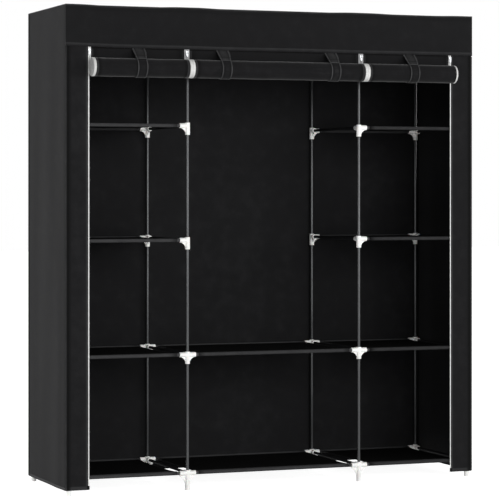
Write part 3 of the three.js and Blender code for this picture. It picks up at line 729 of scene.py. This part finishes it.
def side_place(sign, flap_run, u, v):
    angle = np.clip((u - SIDE_RUN) / CORNER_R, 0, math.pi / 2)
    on_side, on_flap = np.clip(u, 0, SIDE_RUN), np.clip(u - TURN_END, 0, flap_run)
    hang = ease(FALL - v, 0.25) * ease(SIDE_RUN - u, 0.09) * ease(u, 0.09)
    ripple = wave(u, v, (0.0009, 3.1, 0.3, 0.9), (0.0006, 5.2, -0.4, 2.6), (0.0004, 1.4, 1.1, 0.2))
    flap = wave(v, u, (0.0004, 1.3, 0, 0.5), (0.0003, 2.9, 0, 2.2)) * ease(on_flap, 0.03)
    x = SIDE_X - CORNER_R * (1 - np.cos(angle)) - on_flap + (0.0012 + ripple) * hang
    y = BACK_Y - on_side - CORNER_R * np.sin(angle) - flap * ease(v, 0.1)
    x, y = x + cover_hem(v) * np.cos(angle), y - cover_hem(v) * np.sin(angle)
    return sign * x, y, HEM_FOOT + v - 0.0013 * (1 - ease(v, 0.3))


def side_tone(cut, lift, u, v):
    """Painted shade at the back seam, just round the front corner and at the foot; a painted highlight on the
    corner and beside the zip; paler along the hem; the left flap a little paler as painted light.
    """
    front = u - TURN_END
    seams = streak(front, 0.0050, 0.0027, -1.9) - 1.1 * ease(0.018 - u, 0.004)
    turning = np.where(front < -0.004, -0.25, -0.08) * np.exp(-np.abs(front) / 0.014)
    corner = streak(front, 0, 0.0017, 0.5) + lift * (front > 0)
    ridge = streak(cut - u, FLAP_RIDGE, 0.0017, 0.55)
    foot = streak(v, 0, 0.0012)
    hem = (streak(v, HEM_LINE) + streak(v, 0.0070, 0.0033, 1.5)) * (front < 0)
    flap_hem = 0.48 * ease(front - 0.004, 0.004) * ease(HEM_TALL + 0.0005 - v, 0.001)
    return seams + turning + corner + ridge + foot + hem + flap_hem


# painted light: the left flap is painted a little paler than the right
for name, lift in (("left", 0.05), ("right", 0.0)):
    run = FLAP_RUN[name]
    cut = TURN_END + run
    columns = merged(
        stations(SIDE_RUN, 0.022, 0.016, wide=0.002), np.linspace(SIDE_RUN, TURN_END, 6),
        TURN_END + stations(run, 0.008, 0.0011, 0.0030, 0.0048, 0.0067, run - FLAP_RIDGE, wide=0.0009),
    )
    sewn(
        f"cover_{name}_panel", columns, stations(FALL, 0.02, 0.0030, 0.0065, 0.0095, HEM_TALL),
        partial(side_place, HANDS[name], run), partial(side_tone, cut, lift),
        flat=(cut + 2 * SEAM, FALL + 3 * SEAM), node=f"cover_{name}_side",
    )
    print(f"{name} side panel:", round(cut, 3), "by", round(FALL, 3))

# %% [markdown]
# The top lies on the joints and on the rail, and hangs a little between them. The valance is sewn to its
# front edge and hangs in front of the doors. Its foot is a hem that is turned up twice, so it is stiffer and
# a little proud. The hem is painted paler, the top edge has a painted highlight, and the hem's foot painted
# shade.

# %% Top panel and valance
TOP_WIDE, TOP_DEEP = 2 * SIDE_X, BACK_Y - VALANCE_Y
STITCHES = 0.006  # in from the edges of the top
TOP_LINES = (STITCHES, TOP_DEEP - STITCHES)


def top_place(u, v):
    x, y = u - SIDE_X, VALANCE_Y + v
    sag = top_dip(x) * (0.75 + 0.25 * np.cos(2 * math.pi * v / TOP_DEEP))
    middle_sag = 0.002 * ease(v, 0.1) * ease(TOP_DEEP - v, 0.1) * ease(SIDE_X - np.abs(x), 0.1)
    hung = TOP_Z - sag - middle_sag * ease(top_dip(x), 0.002)
    over_rail = TOP_LEVEL + RAIL_R + CLOTH - 0.02 * np.abs(y - SHIFT)
    return x, y, np.where(np.abs(x) < RAIL_END, np.maximum(hung, over_rail), hung)


sewn(
    "cover_top_panel", stations(TOP_WIDE, 0.02), stations(TOP_DEEP, 0.02, *TOP_LINES), top_place,
    lambda u, v: streak(v, TOP_LINES) + streak(u, (STITCHES, TOP_WIDE - STITCHES)),
    flat=(TOP_WIDE + 2 * SEAM, TOP_DEEP + 2 * SEAM), held="stretched",
    rests_on=["top_joint_front_left_outer"], node="cover_top",
)

VALANCE_FALL = PANEL_TOP - VALANCE_FOOT
VALANCE_HALF = SIDE_X + 0.0009
RETURN = 0.004  # the valance's ends turn round the corners
VALANCE_CUT = 2 * VALANCE_HALF + 2 * RETURN
BAND_LINES = (VALANCE_FALL - 0.0065, VALANCE_FALL - 0.0135)


def valance_place(u, v):
    along = u - RETURN
    x = np.clip(along, 0, 2 * VALANCE_HALF) - VALANCE_HALF
    back_by = np.maximum(-along, 0) + np.maximum(along - 2 * VALANCE_HALF, 0)
    free = 1 - v / VALANCE_FALL
    ripple = wave(x, v, (0.0007, 1.7, 0, 0.3), (0.0005, 3.3, 0.8, 1.9), (0.00035, 5.9, 0, 0.7)) * free
    y = VALANCE_Y + back_by - cover_hem(v) - np.abs(ripple) * (back_by == 0) * 0.6
    foot = wave(x, v, (0.0007, 0.9, 0, 1.2), (0.0004, 2.3, 0, 0.3))
    foot = foot + 0.0016 - 0.0033 * (1 - (x / SIDE_X) ** 2)
    return x, y, VALANCE_FOOT + v + foot * free - top_dip(x) * (v / VALANCE_FALL)


# Painted paler along the hem with painted shade at its foot, a painted highlight along the top edge, and
# painted shade along the two stitch lines below it.
def valance_tone(u, v):
    hem = 0.40 * ease(HEM_TALL + 0.0005 - v, 0.001) + streak(v, 0, 0.0010, -0.4)
    top_edge = streak(v, VALANCE_FALL, 0.003, 0.8)
    return hem + top_edge + streak(v, BAND_LINES, 0.0016, -0.35)


sewn(
    "valance_panel", merged([0, RETURN], RETURN + stations(2 * VALANCE_HALF, 0.014), [VALANCE_CUT]),
    stations(VALANCE_FALL, 0.008, HEM_TALL, *BAND_LINES), valance_place, valance_tone,
    flat=(VALANCE_CUT, VALANCE_FALL + 0.025), node="cover_valance",
)
print("top:", round(TOP_WIDE, 3), "by", round(TOP_DEEP, 3), "valance drop:", round(VALANCE_FALL, 3))

# %% [markdown]
# A bound seam runs round the edge of the top and down the four corners: the two layers are folded into a
# narrow bead. A curve with a round section follows each seam and is turned into a mesh. The front and top
# beads are painted paler as painted highlight, and the back beads darker as painted shade.

# %% Bound seams
def bead(points, radius, closed=False, tone=0.5):
    curve = bpy.data.curves.new("bead", "CURVE")
    curve.dimensions = "3D"
    curve.bevel_depth = radius
    curve.bevel_resolution = 3
    curve.use_fill_caps = not closed
    line = curve.splines.new("POLY")
    line.points.add(len(points) - 1)
    line.use_cyclic_u = closed
    for point, place in zip(line.points, points):
        point.co = (*place, 1)
    piece = add_object("bead", curve)
    take(piece)
    bpy.ops.object.convert(target="MESH")
    smooth(piece, 60)
    paint(piece, np.full(len(piece.data.vertices), tone))
    return piece


SEAM_R = 0.0015
IN = 0.0002  # the beads' middles lie this far inside the faces of the cover
# the tone: painted highlight on the front beads, painted shade on the back ones
CORNERS = {  # the seam's Y, its top and its tone
    "front": (DOOR_Y - IN, VALANCE_FOOT - 0.002, 0.45),
    "back": (BACK_Y + IN, PANEL_TOP, -0.8),
}
for name, sign in HANDS.items():
    for row, (y, top, tone) in CORNERS.items():
        line = [(sign * (SIDE_X + 0.0004), y, z) for z in np.linspace(HEM_FOOT, top, 60)]
        hand_over(bead(line, SEAM_R, tone=tone), f"corner_seam_{row}_{name}", COVER_CLOTH)

steps = np.linspace(-SIDE_X, SIDE_X, 90)
edge = [(x, VALANCE_Y - IN, TOP_Z - GAP - float(top_dip(x))) for x in steps]
edge += [(x, BACK_Y + IN, z) for x, _, z in reversed(edge)]
hand_over(bead(edge, SEAM_R, closed=True), "top_edge_seam", COVER_CLOTH)
print("bound seams:", len(HANDS) * len(CORNERS) + 1)

# %% [markdown]
# A shelf is one cloth whose ends are wrapped round the two width tubes and sewn to its underside, so that
# each tube lies in a sleeve. The cloth between them sags a few millimetres. Its side edges are hemmed, and
# are drawn in a little between the sleeves.

# %% Cloth shelves
SLEEVE_R = TUBE_R + 0.0006  # to the middle of the cloth
# painted highlight on the front sleeves, by a different amount in each column
SLEEVE_LIGHT = {"left": 0.72, "centre": 0.62, "right": 0.48}
SEW_IN = 0.021  # the sleeve is sewn this far behind its tube
SETBACK = 0.0315  # from the posts' middles to the edges of the cloth
NECK = {"left": 0.010, "centre": 0.002, "right": 0.010}  # how far the edges are drawn in
SAG, SLEEVE_DROP = 0.004, 0.0028  # in the middle, and just inside the sleeves
SIDE_HEM = 0.008


def shelf_profile():
    """The sleeve, the deck and the other sleeve, as points from front to back about the shelf's level."""
    half = (ROW_Y["back"] - ROW_Y["front"]) / 2
    low = np.array([-half + SEW_IN, SLEEVE_R - CLOTH - 0.0002])
    centre = np.array([-half, 0.0])
    start = math.atan2(*(low - centre)[::-1]) - math.acos(SLEEVE_R / np.linalg.norm(low - centre))
    turns = np.linspace(start, -1.5 * math.pi, 26)
    sleeve = [low, *(centre + SLEEVE_R * np.stack([np.cos(turns), np.sin(turns)], axis=1))]
    near = -half + np.array([0.003, 0.007, 0.011, 0.015, 0.022])
    far = np.linspace(-half, 0, 14)
    ys = np.concatenate([near, far[far > near[-1] + 0.004]])
    zs = SLEEVE_R - SLEEVE_DROP * ease(ys + half, 0.014) - (SAG - SLEEVE_DROP) * (1 - (ys / half) ** 2)
    front = [*sleeve, *np.stack([ys, zs], axis=1)]
    return np.array(front + [point * (-1, 1) for point in front[-2::-1]]), len(sleeve)


def run_along(points):
    """The length along a line of points, at each of them."""
    return np.concatenate([[0], np.cumsum(np.linalg.norm(np.diff(points, axis=0), axis=1))])


profile, sleeve_points = shelf_profile()
PROFILE_RUN = run_along(profile)
SLEEVE_RUN = PROFILE_RUN[sleeve_points - 1]
SHELF_CUT = PROFILE_RUN[-1]


def off_sleeves(v, width):
    """0 in the sleeves, rising to 1 at width from them."""
    return ease(v - SLEEVE_RUN, width) * ease(SHELF_CUT - SLEEVE_RUN - v, width)


def shelf_place(x0, width, z, neck, seed, u, v):
    ripple = wave(u, v, (0.0006, 3.4, 1.1, seed), (0.0004, 6.5, -2.0, 2 * seed))
    edge_lift = 0.0012 * (1 - ease(np.minimum(u, width - u), 0.03))
    up = np.interp(v, PROFILE_RUN, profile[:, 1]) + off_sleeves(v, 0.05) * (ripple + edge_lift - 0.0006)
    drawn_in = neck * off_sleeves(v, 0.09) * (1 - 2 * u / width)
    return x0 + u + drawn_in, SHIFT + np.interp(v, PROFILE_RUN, profile[:, 0]), z + up


def shelf_tone(width, front_sleeve_light, u, v):
    """Painted highlight round the tubes, strongest at the back and different in each column as painted light,
    painted shade on the deck between them, and paler along the hemmed edges.
    """
    sleeve = np.minimum(v, SHELF_CUT - v) < SLEEVE_RUN + 0.009
    edge = np.minimum(u, width - u)
    at_tubes = np.where(sleeve, np.where(v > SHELF_CUT / 2, 1.0, front_sleeve_light), -0.35)
    return at_tubes + streak(edge, SIDE_HEM) + 0.6 * (edge < SIDE_HEM)


for count, (column, (x0, x1)) in enumerate(WIDTH_ENDS.items()):
    width = x1 - x0 - 2 * SETBACK
    columns = stations(width, 0.03, *both_edges(width, SIDE_HEM))
    for level in SHELVES[column]:
        seed = level + 3.1 * count
        sewn(
            f"shelf_cloth_{column}_{level}", columns, PROFILE_RUN,
            partial(shelf_place, x0 + SETBACK, width, LEVEL_Z[level], NECK[column], seed),
            partial(shelf_tone, width, SLEEVE_LIGHT[column]), flat=(width, float(SHELF_CUT)),
            held="stretched", rests_on=[f"width_tube_{row}_{column}_{level}" for row in ROWS],
            finish=SHELF_CLOTH, node=f"shelf_{column}_{level}",
        )
print("shelf cloths cut", round(float(SHELF_CUT), 3), "m long")

# %% [markdown]
# Each door is one cloth from the top seam to its hem. The part that is not rolled, its head, hangs flat
# behind the valance. When the door is let down the head has to become the whole curtain, so it has many rows
# of points where it would stretch.

# %% Door heads
HEAD_FOOT = ROLL_Z + GAP
HEAD_FALL = PANEL_TOP - HEAD_FOOT
BLEND_TOP, BLEND_FOOT = 1.486, ROLL_Z + 0.0005  # the head stretches between these heights
ACROSS = ((0, 0, BLEND_TOP), (0, 0, BLEND_FOOT))
FOLDED = 0.0095  # cloth folded over the edge of a tape
FOLD_STITCH = FOLDED + 0.0015
head_edges = {
    "left": (OUTER_X["left"] + OUTER_TAPE / 2, INNER_X["left"] - INNER_SEEN / 2),
    "centre": (INNER_X["left"] + INNER_SEEN / 2, INNER_X["right"] - INNER_SEEN / 2),
    "right": (INNER_X["right"] + INNER_SEEN / 2, OUTER_X["right"] - OUTER_TAPE / 2),
}
head_rows = merged(
    np.linspace(0, BLEND_TOP - HEAD_FOOT, 90), np.linspace(BLEND_TOP, VALANCE_FOOT + 0.004, 9) - HEAD_FOOT,
    np.linspace(VALANCE_FOOT + 0.01, PANEL_TOP, 14) - HEAD_FOOT,
)


def head_place(x0, width, seed, u, v):
    x = x0 + u
    free = ease(np.minimum(u, width - u), 0.05) * ease(HEAD_FALL - v, 0.05) * ease(v, 0.03)
    ripple = wave(x, v, (0.0006, 2.6, 1.0, seed), (0.0004, 5.3, -1.5, 2 * seed)) * free
    return x, DOOR_Y - np.abs(ripple) * 0.7, HEAD_FOOT + v


def head_tone(width, u, v):
    """Painted highlight where the cloth is folded round the zip tapes, stronger at the left edge, a stitch
    line of painted shade, a little darker all over, and the valance's painted shadow.
    """
    edge = np.minimum(u, width - u)
    folded = np.where(u < width / 2, 0.55, 0.25) * ease(FOLDED - edge, 0.001)
    shadow = streak(HEAD_FOOT + v, VALANCE_FOOT - 0.0020, 0.0022, -1.5)
    return streak(edge, FOLD_STITCH, 0.0014) - 0.12 + folded + shadow


for count, (name, (x0, x1)) in enumerate(head_edges.items()):
    wide = x1 - x0
    columns = stations(wide, 0.03, *both_edges(wide, FOLDED, FOLD_STITCH), wide=0.0007)
    sewn(
        f"door_{name}_head", columns, head_rows, partial(head_place, x0, wide, count + 0.7),
        partial(head_tone, wide), flat=(wide, HEAD_FALL), body=f"door_{name}", across=ACROSS,
    )
print("door heads:", [round(x1 - x0, 3) for x0, x1 in head_edges.values()])

# %% [markdown]
# The rest of each door is wound up: over eleven turns, 2.5 mm apart, around a small hollow. It is a real
# spiral of one thin sheet, because its ends show the turns. The roll is a little slimmer under each strap,
# and its turns don't quite line up at the ends. The zip tapes, sewn to the door's edges, are wound up with it
# and show as white rings.

# %% Rolled doors with their tapes
ROLL_TURNS = (ROLL_MID - ROLL_CORE) / ROLL_PITCH
TURN_STEPS = 30
roll_turn = np.linspace(0, ROLL_TURNS, round(ROLL_TURNS * TURN_STEPS) + 1)
roll_radius = ROLL_MID - ROLL_PITCH * roll_turn
ROLL_RUN = np.concatenate([
    [0], np.cumsum(2 * math.pi * np.diff(roll_turn) * (roll_radius[1:] + roll_radius[:-1]) / 2)
])
ROLL_STITCH = FOLDED + 0.0020


def roll_place(x0, ends, out, u, v):
    """ends are the x of the whole roll's ends, where the turns don't quite line up."""
    x = x0 + u
    turn = np.interp(v, ROLL_RUN, roll_turn)
    angle = -2 * math.pi * turn
    radius = np.interp(v, ROLL_RUN, roll_radius) + out
    squeeze = streak(x, list(STRAP_X.values()), 0.022, 0.0007)
    lumps = wave(x, 0, (0.00035, 4.1, 0, 0.4), (0.00025, 9.3, 0, 2.1)) * np.sin(angle + 9 * x)
    radius = radius + ease(radius, ROLL_MID) * (lumps - squeeze - 0.0003)
    near = streak(np.min([np.abs(x - end) for end in ends], axis=0), 0, 0.012, 0.0007)
    x = x + near * np.sin(2.3 * turn + 0.5)
    return x, ROLL_Y + radius * np.cos(angle), ROLL_Z + radius * np.sin(angle)


def roll_tone(width, taped, u, v):
    """Painted highlight where the cloth is folded round the zip tapes, up to a stitch line of painted shade.
    """
    edges = [e for e, has_tape in zip((u, width - u), taped) if has_tape]
    return sum(0.55 * ease(FOLDED - e, 0.001) + streak(e, ROLL_STITCH, 0.0018, -1.0) for e in edges)


def ring_tone(tape, u, v):
    """The outermost turn is white; the turns inside are painted greyer as the shade between the turns, and a
    darker stitched line runs round the middle.
    """
    inside = -0.42 * ease(v - 2 * math.pi * ROLL_MID, 0.04)
    return inside + streak(u, 0.55 * tape, 0.0011, -0.25)


OUTER_RING, INNER_RING, END_RING = 0.0080, 0.018, 0.0055  # how wide the tapes show
RING_OUT = 0.0002  # the tapes stand this far out of the cloth
APART = 0.0004  # from roll to roll
inner_left, inner_right = -INNER_ZIP - INNER_TAPE / 2, INNER_ZIP - INNER_TAPE / 2
rolls = {  # the roll's ends, and its tapes at them
    "left": (-OUTER_ZIP - 0.004, inner_left - APART, OUTER_RING, 0),
    "centre": (inner_left + APART, inner_right - APART, INNER_RING, 0),
    "right": (inner_right + APART, OUTER_ZIP - APART, INNER_RING, END_RING),
}
for name, (x0, x1, tape_left, tape_right) in rolls.items():
    body = node = f"door_{name}"
    width = x1 - x0 - tape_left - tape_right
    columns = stations(width, 0.022, *both_edges(width, FOLDED, ROLL_STITCH), wide=0.0009)
    place = partial(roll_place, x0 + tape_left, (x0, x1), 0.0)
    roll = cloth(columns, ROLL_RUN, place, partial(roll_tone, width, (True, name != "right")))
    hand_over(roll, f"{node}_roll", ROLL_CLOTH, node, body)
    tapes = []
    for end, edge_x, tape in (("left", x0, tape_left), ("right", x1 - tape_right, tape_right)):
        if tape:
            place = partial(roll_place, edge_x, (x0, x1), RING_OUT)
            ring = cloth(np.linspace(0, tape, 8), ROLL_RUN, place, partial(ring_tone, tape))
            tapes.append(hand_over(ring, f"{node}_tape_{end}", ZIP_TAPE, node, body))
    for piece in [roll, *tapes]:
        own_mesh(piece)

# %% [markdown]
# A strap is a folded band of the cover's cloth. It is sewn in behind the valance, comes down in front of the
# door, goes under the roll and up behind it. It is made in two halves that meet under the roll, because the
# real one opens there: when the door is let down, one half hangs in front of it and one behind.

# %% Straps
# Heights and depths here are from the roll's middle, and MEETS and UNDER are angles round it.
FLARE = 0.0095  # how much wider the band is above its fold
SEAM_UP = HEIGHT - 0.025 - ROLL_Z
FRONT_LEG = DOOR_Y - CLOTH / 2 - GAP - STRAP_THICK / 2 - ROLL_Y  # where the front half hangs
TURN_Z = VALANCE_FOOT - 0.0035 - ROLL_Z  # where it turns towards the roll, at the fold
MEETS = math.atan2(TURN_Z, FRONT_LEG) + math.acos(LOOP_R / math.hypot(FRONT_LEG, TURN_Z))
UNDER = 1.5 * math.pi
PALE_EDGE, STRAP_STITCH = STRAP_LINES = (0.0020, 0.0062)  # in from the edge


def arc(start, end, count):
    """Points round the roll from one angle to another."""
    turns = np.linspace(start, end, count)
    return LOOP_R * np.stack([np.cos(turns), np.sin(turns)], axis=1)


def leg(y, start, end, count):
    return np.stack([np.full(count, y), np.linspace(start, end, count)], axis=1)


bend = np.array([[FRONT_LEG - 0.0004, TURN_Z]])
slope = np.linspace(bend[0], arc(MEETS, MEETS, 1)[0], 10)[1:-1]
down_to_roll = np.concatenate([leg(FRONT_LEG, SEAM_UP, TURN_Z + 0.004, 10), bend, slope])
front_half = np.concatenate([down_to_roll, arc(MEETS, UNDER - 0.02, 26)])
back_half = np.concatenate([arc(UNDER + 0.02, 2 * math.pi, 18), leg(LOOP_R, 0.004, SEAM_UP, 20)])


def strap_place(x0, points, run, fold, u, v):
    """The band is gathered at the fold, so it is wider above it, towards one side."""
    cup = 0.0002 * np.cos(2 * math.pi * u / STRAP_WIDE)
    flare = FLARE * np.clip((fold - v) / 0.045, 0, 1) * u / STRAP_WIDE
    y, z = (np.interp(v, run, points[:, i]) for i in (0, 1))
    return x0 + u + flare - STRAP_WIDE / 2, ROLL_Y + y + cup, ROLL_Z + z


def strap_tone(fold, u, v):
    """Painted highlight along the stitched edges below the fold and all over the doubled band above it, with
    painted shade in the crease and along the stitch lines.
    """
    edge = np.minimum(u, STRAP_WIDE - u)
    edges = streak(edge, PALE_EDGE, 0.0026, 0.5) + streak(edge, STRAP_STITCH, 0.0012, -0.6)
    if not fold:
        return edges
    above = v < fold
    crease = streak(v, fold, 0.0020, -1.4) + streak(v, fold - 0.0045, 0.0018, 0.8)
    doubled = 0.14 - 0.35 * (np.abs(v - fold + 0.022) < 0.001)
    return edges * (1 - 0.35 * above) + doubled * above + crease * (edge > 0.003)


columns = stations(STRAP_WIDE, 0.004, *both_edges(STRAP_WIDE, *STRAP_LINES), wide=0.0008)
for name, x0 in STRAP_X.items():
    for half, points, y in (("front", front_half, FRONT_LEG), ("back", back_half, LOOP_R)):
        run = run_along(points)
        fold, lengths = 0.0, run
        if half == "front":
            fold = float(run[len(down_to_roll)])
            creases = [-0.022, -0.0075, -0.006, -0.0045, -0.003, -0.0015, 0, 0.0015, 0.003]
            lengths = merged(run, fold + np.array(creases), digits=5)
        band = sewn(
            f"strap_{name}_{half}", columns, lengths, partial(strap_place, x0, points, run, fold),
            partial(strap_tone, fold), flat=(STRAP_WIDE + (FLARE if fold else 0), float(run[-1])),
            finish=STRAP_CLOTH, thick=STRAP_THICK, node=f"strap_{name}",
        )
        door = name.split("_")[0]
        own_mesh(band)
print("straps:", len(STRAP_X), "each", round(sum(run_along(p)[-1] for p in (front_half, back_half)), 3), "m")

# %% [markdown]
# The outer zips run the whole height: one half of the tape stays on the flap, and the other goes down with
# the door. The inner zips join two doors, so the short length above the roll is all that shows. One tooth is
# modelled and set along each tape every 2.5 mm. The head of a door stretches as the door is let down, and its
# teeth with it, so they are flat and packed close while it is rolled up.

# %% Zip tapes and teeth
TOOTH_PITCH, TOOTH_OUT = 0.0025, 0.0018
TOOTH_SIZE = (0.0030, 0.0017, 0.0013)
ZIP_FOOT = HEM_FOOT + HEM_TALL + GAP
FIRST_TOOTH = ZIP_FOOT + 0.002
TAPE_TOP = PANEL_TOP - 0.002
DOOR_TRAVEL = 1.362
STRETCH = 1 + DOOR_TRAVEL / (BLEND_TOP - BLEND_FOOT)  # of the head when its door is down


def tape_strip(x0, x1, foot, step=0.02, tone=0.0):
    """A flat tape between two edges, up to the top."""
    x0, x1 = sorted((x0, x1))
    return cloth(
        np.linspace(0, x1 - x0, 7), stations(TAPE_TOP - foot, step),
        lambda u, v: (x0 + u, np.full_like(u, DOOR_Y), foot + v), lambda u, v: np.full_like(u, tone),
    )


def one_tooth(side, tall):
    """A tooth that reaches from its tape towards the middle of the zip; side is where its tape is."""
    tooth = brick((side * TOOTH_OUT, DOOR_Y - CLOTH / 2 - 0.00065, 0), TOOTH_SIZE)
    round_edges(tooth, lambda e: all(v.co.x * side < 0 for v in e.verts), 0.0004, segments=1)
    tooth.scale = (1, 1, tall)
    settle(tooth)
    return tooth


def tooth_row(x, side, heights, tall=1.0, tone=0.0):
    """One tooth, copied to every height, as one mesh."""
    tooth = one_tooth(side, tall)
    corners = np.array([v.co for v in tooth.data.vertices])
    faces = [list(p.vertices) for p in tooth.data.polygons]
    bpy.data.objects.remove(tooth)
    points = np.concatenate([corners + (x, 0, z) for z in heights])
    starts = range(0, len(points), len(corners))
    mesh = bpy.data.meshes.new("teeth")
    mesh.from_pydata(points.tolist(), [], [[i + start for i in f] for start in starts for f in faces])
    piece = add_object("teeth", mesh)
    paint(piece, np.full(len(points), tone))
    return piece


def door_row(x, side, phase=0.5, tone=0.0):
    """Teeth at their places on the door that is let down, brought up to where they lie when it is rolled."""
    down = np.arange(FIRST_TOOTH + phase * TOOTH_PITCH, BLEND_TOP, TOOTH_PITCH)
    heights = BLEND_TOP - (BLEND_TOP - down) / STRETCH
    return tooth_row(x, side, heights[heights > HEAD_FOOT + GAP], 1 / STRETCH, tone)


for name, sign in HANDS.items():
    x, node = OUTER_X[name], f"zip_{name}_outer"
    on_door = {"body": f"door_{name}", "across": ACROSS}
    flap_tape = tape_strip(x + sign * 0.0010, FLAP_X[name], ZIP_FOOT)
    hand_over(flap_tape, f"{node}_flap_tape", ZIP_TAPE, node)
    flap_teeth = tooth_row(x, sign, np.arange(FIRST_TOOTH, VALANCE_FOOT, TOOTH_PITCH))
    hand_over(flap_teeth, f"{node}_flap_teeth", ZIP_TEETH, node)
    # painted shade: the door's half of the tape is painted a little greyer
    door_tape = tape_strip(x - sign * 0.0002, x - sign * OUTER_TAPE / 2, HEAD_FOOT, step=0.0015, tone=-0.05)
    hand_over(door_tape, f"{node}_door_tape", ZIP_TAPE, **on_door)
    hand_over(door_row(x, -sign), f"{node}_door_teeth", ZIP_TEETH, **on_door)

for name, door in (("left", "centre"), ("right", "right")):  # the door that each goes down with
    x, node = INNER_X[name], f"zip_{name}_inner"
    on_door = {"body": f"door_{door}", "across": ACROSS}
    # Painted shade: the short inner tapes and their teeth are painted grey, as they lie in shade under the
    # valance.
    tape = tape_strip(x - INNER_SEEN / 2, x + INNER_SEEN / 2, HEAD_FOOT, step=0.0015, tone=-0.8)
    hand_over(tape, f"{node}_tape", ZIP_TAPE, node, **on_door)
    chain = [door_row(x, side, phase=(side + 1) / 4, tone=-0.75) for side in (-1, 1)]
    take(*chain)
    bpy.ops.object.join()
    hand_over(chain[0], f"{node}_teeth", ZIP_TEETH, **on_door)
print("teeth on an outer zip:", int((VALANCE_FOOT - ZIP_FOOT) / TOOTH_PITCH))

# %% [markdown]
# A folded tab of the cover's cloth closes the foot of each outer zip, where the tape ends at the hem.

# %% Tabs at the foot of the outer zips
TAB_WIDE, TAB_TALL = 0.0102, 0.013
TAB_LAP = 0.0052  # over the edge of the flap
TAB_STITCH = 0.002
for name, sign in HANDS.items():
    sewn(
        f"zip_tab_{name}", np.linspace(0, TAB_WIDE, 6), stations(TAB_TALL, 0.002),
        lambda u, v: (
            FLAP_X[name] + sign * (TAB_LAP - u), DOOR_Y - 0.0011 - 0.0003 * ease(v, 0.004),
            HEM_FOOT - 0.0006 + v,
        ),
        lambda u, v: sum(streak(edge, TAB_STITCH, 0.0009) for edge in (TAB_TALL - v, TAB_WIDE - u)),
        flat=(TAB_WIDE, TAB_TALL), held="folded", rests_on=[f"cover_{name}_panel"],
    )
print("tabs:", TAB_WIDE, "by", TAB_TALL)

# %% [markdown]
# A slider is a small casting: a front plate that narrows downwards, two lips that run beside the teeth, and a
# bail over it. The pull hangs from the bail by its eye. The plate starts as a block, its lower edge is drawn
# in and its edges are rounded, and the eye is cut through the pull.

# %% Zip sliders and pulls
SLIDER_TOP = VALANCE_FOOT - 0.006
SLIDER_FOOT = SLIDER_TOP - 0.012
PLATE_HALF = 0.0006  # half of a plate's thickness
PLATE_Y = TEETH_FRONT - GAP - PLATE_HALF
PIVOT_Y, PIVOT_Z = PLATE_Y - PLATE_HALF - 0.0014, SLIDER_TOP - 0.006
BOW = (  # the bail's line, out from the plate and up from the pivot
    (0, 3.5), (1.6, 3.3), (3.0, 2.0), (3.4, 0), (3.0, -2.0), (1.6, -3.3), (0, -3.5)
)


def block(x, half_wide, ys, zs, bevel=0.0003, taper=1.0):
    """A block between two depths and two heights, its foot drawn in by taper, its edges rounded."""
    low, high = Vector((x - half_wide, ys[0], zs[0])), Vector((x + half_wide, ys[1], zs[1]))
    piece = brick((low + high) / 2, high - low)
    if taper != 1.0:
        draw_in = partial(bpy.ops.transform.resize, value=(taper, 1, 1))
        in_edit_mode(piece, "FACE", lambda f: f.normal.z < -0.9, draw_in)
    round_edges(piece, lambda e: True, bevel)
    return piece


def zip_slider(x):
    zs, inner_zs = (SLIDER_FOOT, SLIDER_TOP), (SLIDER_FOOT + 0.001, SLIDER_TOP - 0.001)
    plate = block(x, 0.0045, (PLATE_Y - PLATE_HALF, PLATE_Y + PLATE_HALF), zs, taper=0.8)
    combine(plate, block(x, 0.0022, (PLATE_Y - 2 * PLATE_HALF, PLATE_Y), inner_zs, taper=0.7), "UNION")
    lip_ys = (PLATE_Y - 0.0002, DOOR_Y - CLOTH / 2 - 0.0002)
    for side in (-1, 1):
        combine(plate, block(x + side * 0.00345, 0.00055, lip_ys, zs), "UNION")
    bow = [(x, PLATE_Y - 0.0004 - out / 1000, PIVOT_Z + up / 1000) for out, up in BOW]
    take(plate, bead(bow, 0.0006))
    bpy.ops.object.join()
    return smooth(plate)


def zip_pull(x):
    y, z, through = PIVOT_Y, PIVOT_Z, PIVOT_Y - 0.002
    plate = block(x, 0.0035, (y - PLATE_HALF, y + PLATE_HALF), (z - 0.014, z + 0.0005), 0.0004, taper=0.72)
    combine(plate, block(x, 0.0018, (through, y + 0.002), (z - 0.0052, z - 0.0007), 0.0006), "DIFFERENCE")
    dish = block(x, 0.0018, (through, y - 0.0003), (z - 0.0125, z - 0.0068), 0.0005, taper=0.9)
    combine(plate, dish, "DIFFERENCE")
    return smooth(plate)


for side in SIDES:
    half, place = side.split("_")
    x = (INNER_X if place == "inner" else OUTER_X)[half]
    hand_over(zip_slider(x), f"slider_body_{side}", NICKEL, f"zip_slider_{side}", f"slider_{side}")
    hand_over(zip_pull(x), f"slider_pull_{side}", NICKEL, f"zip_pull_{side}", f"pull_{side}")
print("sliders:", len(SIDES))
